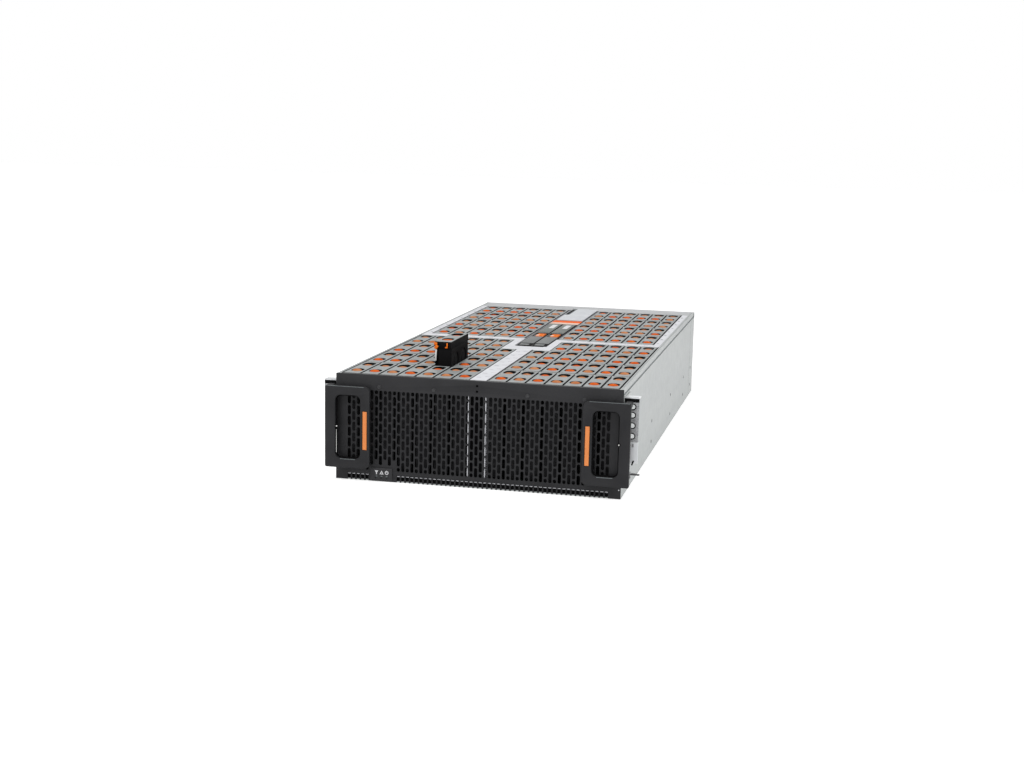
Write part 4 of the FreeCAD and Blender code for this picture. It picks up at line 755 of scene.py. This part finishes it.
# ---------------------------------------------------------------- centre modules
def centre_module(side, name):
    """Printed top plates, label, lever and wire hook of one module, with black rims and a black well floor as
    painted shade.
    """
    low, high = (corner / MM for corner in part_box(f"module_{name}"))
    top = high.z
    body = f"{name}_module"
    across = (low.x + 0.5, high.x - 2.2)
    plates = Build(FINISH["module"], FINISH["module_dark"], FINISH["label"], FINISH["black_and_shade"])
    plates.slab([outline_rounded(across, MODULE_FRONT, 1.0, 3)], around(top, 0.4))
    # painted shade: a black rim round the front lip plate
    plates.slab([outline_rounded(across, MODULE_LIP, 1.0, 3)], (top - 0.4, top + 0.2), 0.1, 3)
    plates.slab([outline_rounded((across[0] + 2.5, across[1] - 4.5), MODULE_LIP_PLATE, 1.0, 3)],
                (top, top + 0.4), 0.1, 0)
    # painted shade: a black strip along the outer edge, in the gap
    plates.box((high.x - 2.1, high.x - 0.1), (MODULE_LIP[0], MODULE_REAR[1] - 1),
               (top - 0.3, top + 0.1), 0, 3)
    plates.slab([outline_rounded(across, MODULE_REAR, 1.0, 3)], around(top, 0.4), 0.1, 1)
    plates.slab([outline_rounded(LABEL_X[side], LABEL_Y, 0.5, 2)], (top + 0.3, top + 0.55), 0.05, 2)
    plates.box((across[0] + 3, across[1] - 3), MODULE_LINE, (top + 0.3, top + 0.5), 0, 3)
    # painted shade: a black floor in the well between the plates
    plates.box((low.x + 1.4, high.x - 1.4), MODULE_WELL, MODULE_WELL_Z, 0, 3)
    plates.put(f"module_top_{name}", body, "module_grey")

    low, high = (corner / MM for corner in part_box(f"module_lever_{name}"))
    lever = Build(FINISH["latch"], FINISH["strap_pale"])
    lever.box((low.x - 1.5, high.x + 1.5), (low.y, high.y - 1.0), (high.z - 2.6, high.z), 0.8)
    lever.box((low.x - 1.5, high.x + 1.5), (low.y, low.y + 2.6), (high.z - 5.0, high.z), 0.8)
    lever.box((low.x - 1.6, low.x + 4.5), (low.y + 4, low.y + 18), (high.z - 2.0, high.z + 0.2), 0.5, 1)
    lever.cylinder(3.1, (low.x, high.y - 3.1, high.z - 3.1), (high.x, high.y - 3.1, high.z - 3.1), 0, 24)
    lever.put(f"lever_{name}", f"{name}_lever", "orange_plastic", f"module_lever_{name}")

    low, high = (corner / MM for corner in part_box(f"module_bail_{name}"))
    hook = Build(FINISH["wire"])
    hook.box((low.x, high.x), (low.y, low.y + 1.8), (low.z, high.z), 0.6)
    hook.box((high.x - 1.8, high.x), (low.y, high.y), (low.z, high.z), 0.6)
    hook.box((low.x - 1.2, low.x + 1.6), (low.y, high.y), (low.z, high.z), 0.8)
    hook.box((low.x - 1.4, low.x + 1.6), (low.y + 1.0, low.y + 4.5), (low.z, top - 0.2), 0.8)
    hook.box((low.x - 1.4, low.x + 2.8), (low.y - 2.0, low.y + 12), (top - 2.0, top - 0.1), 0.8)
    hook.put(f"hook_wire_{name}", f"{name}_lever", "black_wire", f"module_bail_{name}")


def strap():
    """Orange strap over the modules' rear end, pale along its front and at its ends."""
    low, high = (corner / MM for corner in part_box("pull_strap"))
    split = low.y + 0.42 * (high.y - low.y)
    build = Build(FINISH["strap"], FINISH["strap_pale"])
    build.box((low.x, high.x), (split, high.y), (high.z - 2.0, high.z), 0.8)
    build.box((low.x, high.x), (low.y, split + 0.3), (high.z - 2.0, high.z - 0.1), 0.8, 1)
    for side in (-1, 1):
        build.box((side * high.x, side * (high.x - 2.0)), (low.y, high.y), (low.z, high.z - 0.5), 0.5, 1)
    build.put("strap_band", "chassis", "orange_strap", "pull_strap")


def marks():
    """Printed marks, rivets and seams on the sheet metal, and painted shade: a line in each side's step, dark
    rims in the rail holes, dark lines along gaps and a dark slot on the cover.
    """
    build = Build(FINISH["print"], FINISH["seam"], FINISH["black_and_shade"])
    for y in spaced(*STRIP_DASHES):
        build.box((-9.5, -2.5), (y, y + 3.0), PRINTED)
        build.box((1.5, 9.0), (y + 9, y + 11.5), PRINTED)
    for side in (-1, 1):
        for y in spaced(*RIVETS):
            build.cylinder(2.3, (side * RIVET_X, y, 165.9), (side * RIVET_X, y, 166.1), 1, 16)
        for x in spaced(*BEAM_DASHES):
            build.box((side * x, side * (x + 8)), (446, 449), PRINTED)
        # painted shade: a dark line in the step along the side
        build.box((side * 222.0, side * 222.07), (-10, 961), (156.6, 158.4), 0, 1)
        build.box((side * 219.4, side * 220.0), (-4, 961), (165.98, 166.06), 0, 1)
        build.box((side * SIDE, side * (SIDE + 0.06)), (899, 900), (1, 156), 0, 1)
        # painted shade: dark discs in the rail holes
        for y in RAIL_HOLES_Y:
            for z in RAIL_HOLES_Z:
                build.cylinder(2.9, (side * (SIDE - 0.05), y, z), (side * (SIDE + 0.1), y, z), 2, 16)
        # painted shade: dark lines along the gaps beside the drive banks
        for x, span in GAP_LINES:
            build.box((side * (x - 0.7), side * (x + 0.7)), span, DARK_LINE, 0, 2)
    # painted shade: a dark line right of the middle strip and one along the modules' front edge
    build.box((12.1, 14.3), (-4, 326), DARK_LINE, 0, 2)
    build.box((-26.0, 24.0), (363.8, 367.6), DARK_LINE, 0, 2)
    # a dark slot on the cover as painted shade, in a grey surround
    build.box((-25.6, -16.6), (822, 920), (165.96, 166.12), 0.05, 1)
    build.box((-24.4, -18.8), (823, 905), (166.0, 166.16), 0, 2)
    build.put("sheet_marks", "chassis", "chassis_sheet")


# ---------------------------------------------------------------- ears
def ear(side, name):
    """Handle with its window, the trigger's opening, a screw and the web behind it, with painted shade on the
    window's inner wall and painted highlights along its rims.
    """
    low, high = (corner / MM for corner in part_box(f"ear_handle_{name}"))
    inner, outer = sorted((abs(low.x), abs(high.x)))
    window = mirrored(side, *WINDOW_X)
    wide, tight = EAR_CORNERS
    radii = (tight, wide, wide, tight) if side > 0 else (wide, tight, tight, wide)
    build = Build(FINISH["ear"], FINISH["black_and_shade"], FINISH["steel"], FINISH["seam"])
    build.sheet([outline_rounded(mirrored(side, inner, outer), (low.z, high.z), radii, 8),
                 outline_rounded(window, WINDOW_Z, WINDOW_CORNER, 8),
                 outline_rounded(mirrored(side, *TRIGGER_X), TRIGGER_Z, 0.8, 2)],
                (low.y, low.y + EAR_SHEET), 1.0)
    # painted shade: a black ring on the window's inner wall
    build.sheet([outline_rounded(wider(window, 0.5), wider(WINDOW_Z, 0.5), WINDOW_CORNER + 0.5, 8),
                 outline_rounded(wider(window, -1.6), wider(WINDOW_Z, -1.6), WINDOW_CORNER - 1.4, 8)],
                (low.y + 4.4, low.y + 6.6), 0.2, 1)
    build.box(mirrored(side, SIDE + 0.3, SIDE + 3.7), (low.y + 6.4, high.y), (54.0, 146.0), 0.5)
    build.box(mirrored(side, SIDE + 3.5, SIDE + 12.9), (low.y + 6.3, high.y - 0.3),
              (140.5, high.z - 0.2), 0.6)
    x, z = side * EAR_SCREW_X[side], EAR_SCREW_Z
    build.cylinder(2.8, (x, low.y + 0.6, z), (x, low.y - 0.05, z), 1, 20)
    build.cylinder(1.4, (x, low.y + 0.2, z), (x, low.y - 0.4, z), 2, 16, 1.0)
    # painted highlight: a light line inside the left window's outer edge
    if side < 0:
        build.box((-218.9, -218.2), (low.y + 1.0, low.y + 2.0), (44.0, 80.0), 0.1, 2)
    # painted highlights: light lines along the top rim and under the window
    build.box(mirrored(side, inner + 9, outer - 2), (low.y + 0.1, low.y + 1.0),
              (high.z - 1.1, high.z - 0.2), 0.1, 3)
    build.box(wider(window, -8), (low.y - 0.02, low.y + 0.6), (34.0, 34.8), 0.1, 3)
    build.put(f"ear_frame_{name}", "chassis", "black_plastic", f"ear_handle_{name}")


def rack_bracket(side, name):
    """Bracket with its row of oval rack holes, dark at the rims as painted shade; its lower flange and top
    lip painted brighter and the strip under the lip black, as painted light.
    """
    low, high = (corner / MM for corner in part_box(f"rack_bracket_{name}"))
    flange = mirrored(side, SIDE, SIDE + FLANGE_WIDTH)
    oval = mirrored(side, *RACK_HOLES_X)
    holes = [outline_rounded(oval, around(z, 3.5), 3.45, 6) for z in RACK_HOLES_Z]
    build = Build(FINISH["rough_zinc"], FINISH["black_and_shade"], FINISH["side"], FINISH["bright"])
    build.sheet([outline_rounded(flange, (FLANGE_STEP, high.z), 1.0, 2)] + holes, BRACKET_SHEET, 0.2)
    # painted light: the lower flange brighter than the zinc above it
    build.box(flange, BRACKET_SHEET, (low.z, FLANGE_STEP + 0.5), 0.2, 3)
    build.box(mirrored(side, 237.2, 239.4), (-2.3, -0.6), (50.8, 58.4), 0.3, 1, turn=(0, side * 0.35, 0))
    build.box(mirrored(side, 236.6, 239.0), (-2.2, -1.9), (78.5, 84.0))
    # painted shade: a black strip under the top lip
    build.box(flange, (-2.2, -1.9), (high.z - 7.5, high.z - 2), 0, 1)
    # painted shade: dark rims round the rack holes
    for hole, z in zip(holes, RACK_HOLES_Z):
        rim = outline_rounded(wider(oval, 1.6), around(z, 4.9), 4.8, 6)
        build.sheet([rim, hole], (-2.15, -1.9), 0.05, 1)
    build.box(mirrored(side, SIDE, SIDE + 2), (-2, 46), (low.z, high.z), 0.4, 2)
    # painted highlight: the top lip in the brighter zinc
    build.box(mirrored(side, SIDE, SIDE + FLANGE_WIDTH + 0.5), (-2.3, 14), (high.z - 2, high.z), 0.5, 3)
    build.put(f"bracket_{name}", "chassis", "galvanised", f"rack_bracket_{name}")


def slam_hook(side, name):
    """Thin bent nose on its barrel, with room for the pin."""
    low, high = (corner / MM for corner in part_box(f"slam_hook_{name}"))
    x, y = side * HOOK_PIN[0], HOOK_PIN[1]
    build = Build(FINISH["screw"])
    build.slab([[(side * nose_x, nose_y) for nose_x, nose_y in HOOK_NOSE]], wider((low.z, high.z), -1.5), 0.2)
    build.slab([outline_circle(x, y, 4.1), outline_circle(x, y, 2.1)], (low.z, high.z), 0.2)
    build.put(f"hook_nose_{name}", f"{name}_hook", "screw_steel", f"slam_hook_{name}")


# ---------------------------------------------------------------- back
def fan_guard(index):
    """Finger guard of rings and spokes over the outlet of one fan."""
    low, high = (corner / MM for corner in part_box(f"fan_housing_{index}"))
    x = (low.x + high.x) / 2
    z = (low.z + high.z) / 2
    build = Build(FINISH["steel"])
    for radius in GUARD_RINGS:
        build.sheet([outline_circle(x, z, radius + GUARD_WIRE, 40),
                     outline_circle(x, z, radius - GUARD_WIRE, 40)],
                    (high.y - 1.6, high.y - 0.2), 0.3)
    for turn in (math.pi / 4, -math.pi / 4):
        build.box(around(x, GUARD_REACH), (high.y - 2.6, high.y - 1.2), around(z, GUARD_WIRE), 0.3,
                  turn=(0, turn, 0))
    build.put(f"fan_guard_{index}", f"fan_{index}", "screw_steel")


# ---------------------------------------------------------------- stage
def background_rays(tree):
    """A level of one for the rays that show the background.

    They are the rays from the camera, those in reflections and those through glass.
    """
    path = tree.nodes.new("ShaderNodeLightPath")
    level = path.outputs["Is Camera Ray"]
    for kind in ("Is Glossy Ray", "Is Transmission Ray"):
        either = tree.nodes.new("ShaderNodeMath")
        either.operation = "MAXIMUM"
        tree.links.new(level, either.inputs[0])
        tree.links.new(path.outputs[kind], either.inputs[1])
        level = either.outputs[0]
    return level


def world_light():
    """White for the rays that show the background, a plain soft level for what lights the object."""
    world = bpy.data.worlds.new("studio")
    bpy.context.scene.world = world
    world.use_nodes = True
    tree = world.node_tree
    tree.nodes.clear()
    soft = node(tree, "ShaderNodeBackground", Color=(1, 1, 1, 1), Strength=SOFT_LEVEL)
    white = node(tree, "ShaderNodeBackground", Color=(1, 1, 1, 1), Strength=1.0)
    mix = tree.nodes.new("ShaderNodeMixShader")
    out = tree.nodes.new("ShaderNodeOutputWorld")
    tree.links.new(background_rays(tree), mix.inputs[0])
    tree.links.new(soft.outputs[0], mix.inputs[1])
    tree.links.new(white.outputs[0], mix.inputs[2])
    tree.links.new(mix.outputs[0], out.inputs["Surface"])


def area_light(name, place, target, size, power):
    """Round soft light that looks from its place at a target. Metres and watts."""
    light = bpy.data.lights.new(name, "AREA")
    light.shape = "DISK"
    light.size = size
    light.energy = power
    made = bpy.data.objects.new(name, light)
    made.location = place
    made.rotation_euler = (Vector(target) - Vector(place)).to_track_quat("-Z", "Y").to_euler()
    bpy.context.scene.collection.objects.link(made)


def floor():
    """White floor that takes the shadow and glows a little for the rays that show it."""
    mesh = bpy.data.meshes.new("floor")
    ends = ((-1, -1), (1, -1), (1, 1), (-1, 1))
    mesh.from_pydata([(x * FLOOR_REACH, y * FLOOR_REACH, 0) for x, y in ends], [], [(0, 1, 2, 3)])
    material = bpy.data.materials.new("floor_white")
    material.use_nodes = True
    tree = material.node_tree
    shader = tree.nodes["Principled BSDF"]
    shader.inputs["Base Color"].default_value = (0.9, 0.9, 0.9, 1)
    shader.inputs["Roughness"].default_value = 0.7
    level = tree.nodes.new("ShaderNodeMath")
    level.operation = "MULTIPLY"
    level.inputs[1].default_value = FLOOR_GLOW
    tree.links.new(background_rays(tree), level.inputs[0])
    shader.inputs["Emission Color"].default_value = (1, 1, 1, 1)
    tree.links.new(level.outputs[0], shader.inputs["Emission Strength"])
    mesh.materials.append(material)
    made = bpy.data.objects.new("floor", mesh)
    made.location.z = -FLOOR_DROP
    bpy.context.scene.collection.objects.link(made)


def camera():
    """The photograph's camera."""
    data = bpy.data.cameras.new("camera")
    data.lens = LENS
    data.sensor_width = SENSOR
    made = bpy.data.objects.new("camera", data)
    made.location = CAMERA_AT
    made.rotation_euler = CAMERA_TURN
    bpy.context.scene.collection.objects.link(made)
    bpy.context.scene.camera = made


# ---------------------------------------------------------------- the scene
bpy.context.scene.view_settings.view_transform = "Standard"
world_light()
area_light("key", (-1.2, -1.8, 3.2), (0, 0.4, 0.1), size=2.6, power=60)
area_light("fill", (2.6, -0.6, 1.6), (0.2, 0.4, 0.1), size=2.0, power=26)
floor()
camera()
dress_nodes()
front_grille()
status_panel()
lifted_drive()
strap()
marks()
for bank_name in BANKS:
    for way, side_name in SIDES:
        drive_quarter(bank_name, way, side_name)
for way, side_name in SIDES:
    ear(way, side_name)
    rack_bracket(way, side_name)
    slam_hook(way, side_name)
    centre_module(way, side_name)

for fan in range(1, 5):
    fan_guard(fan)
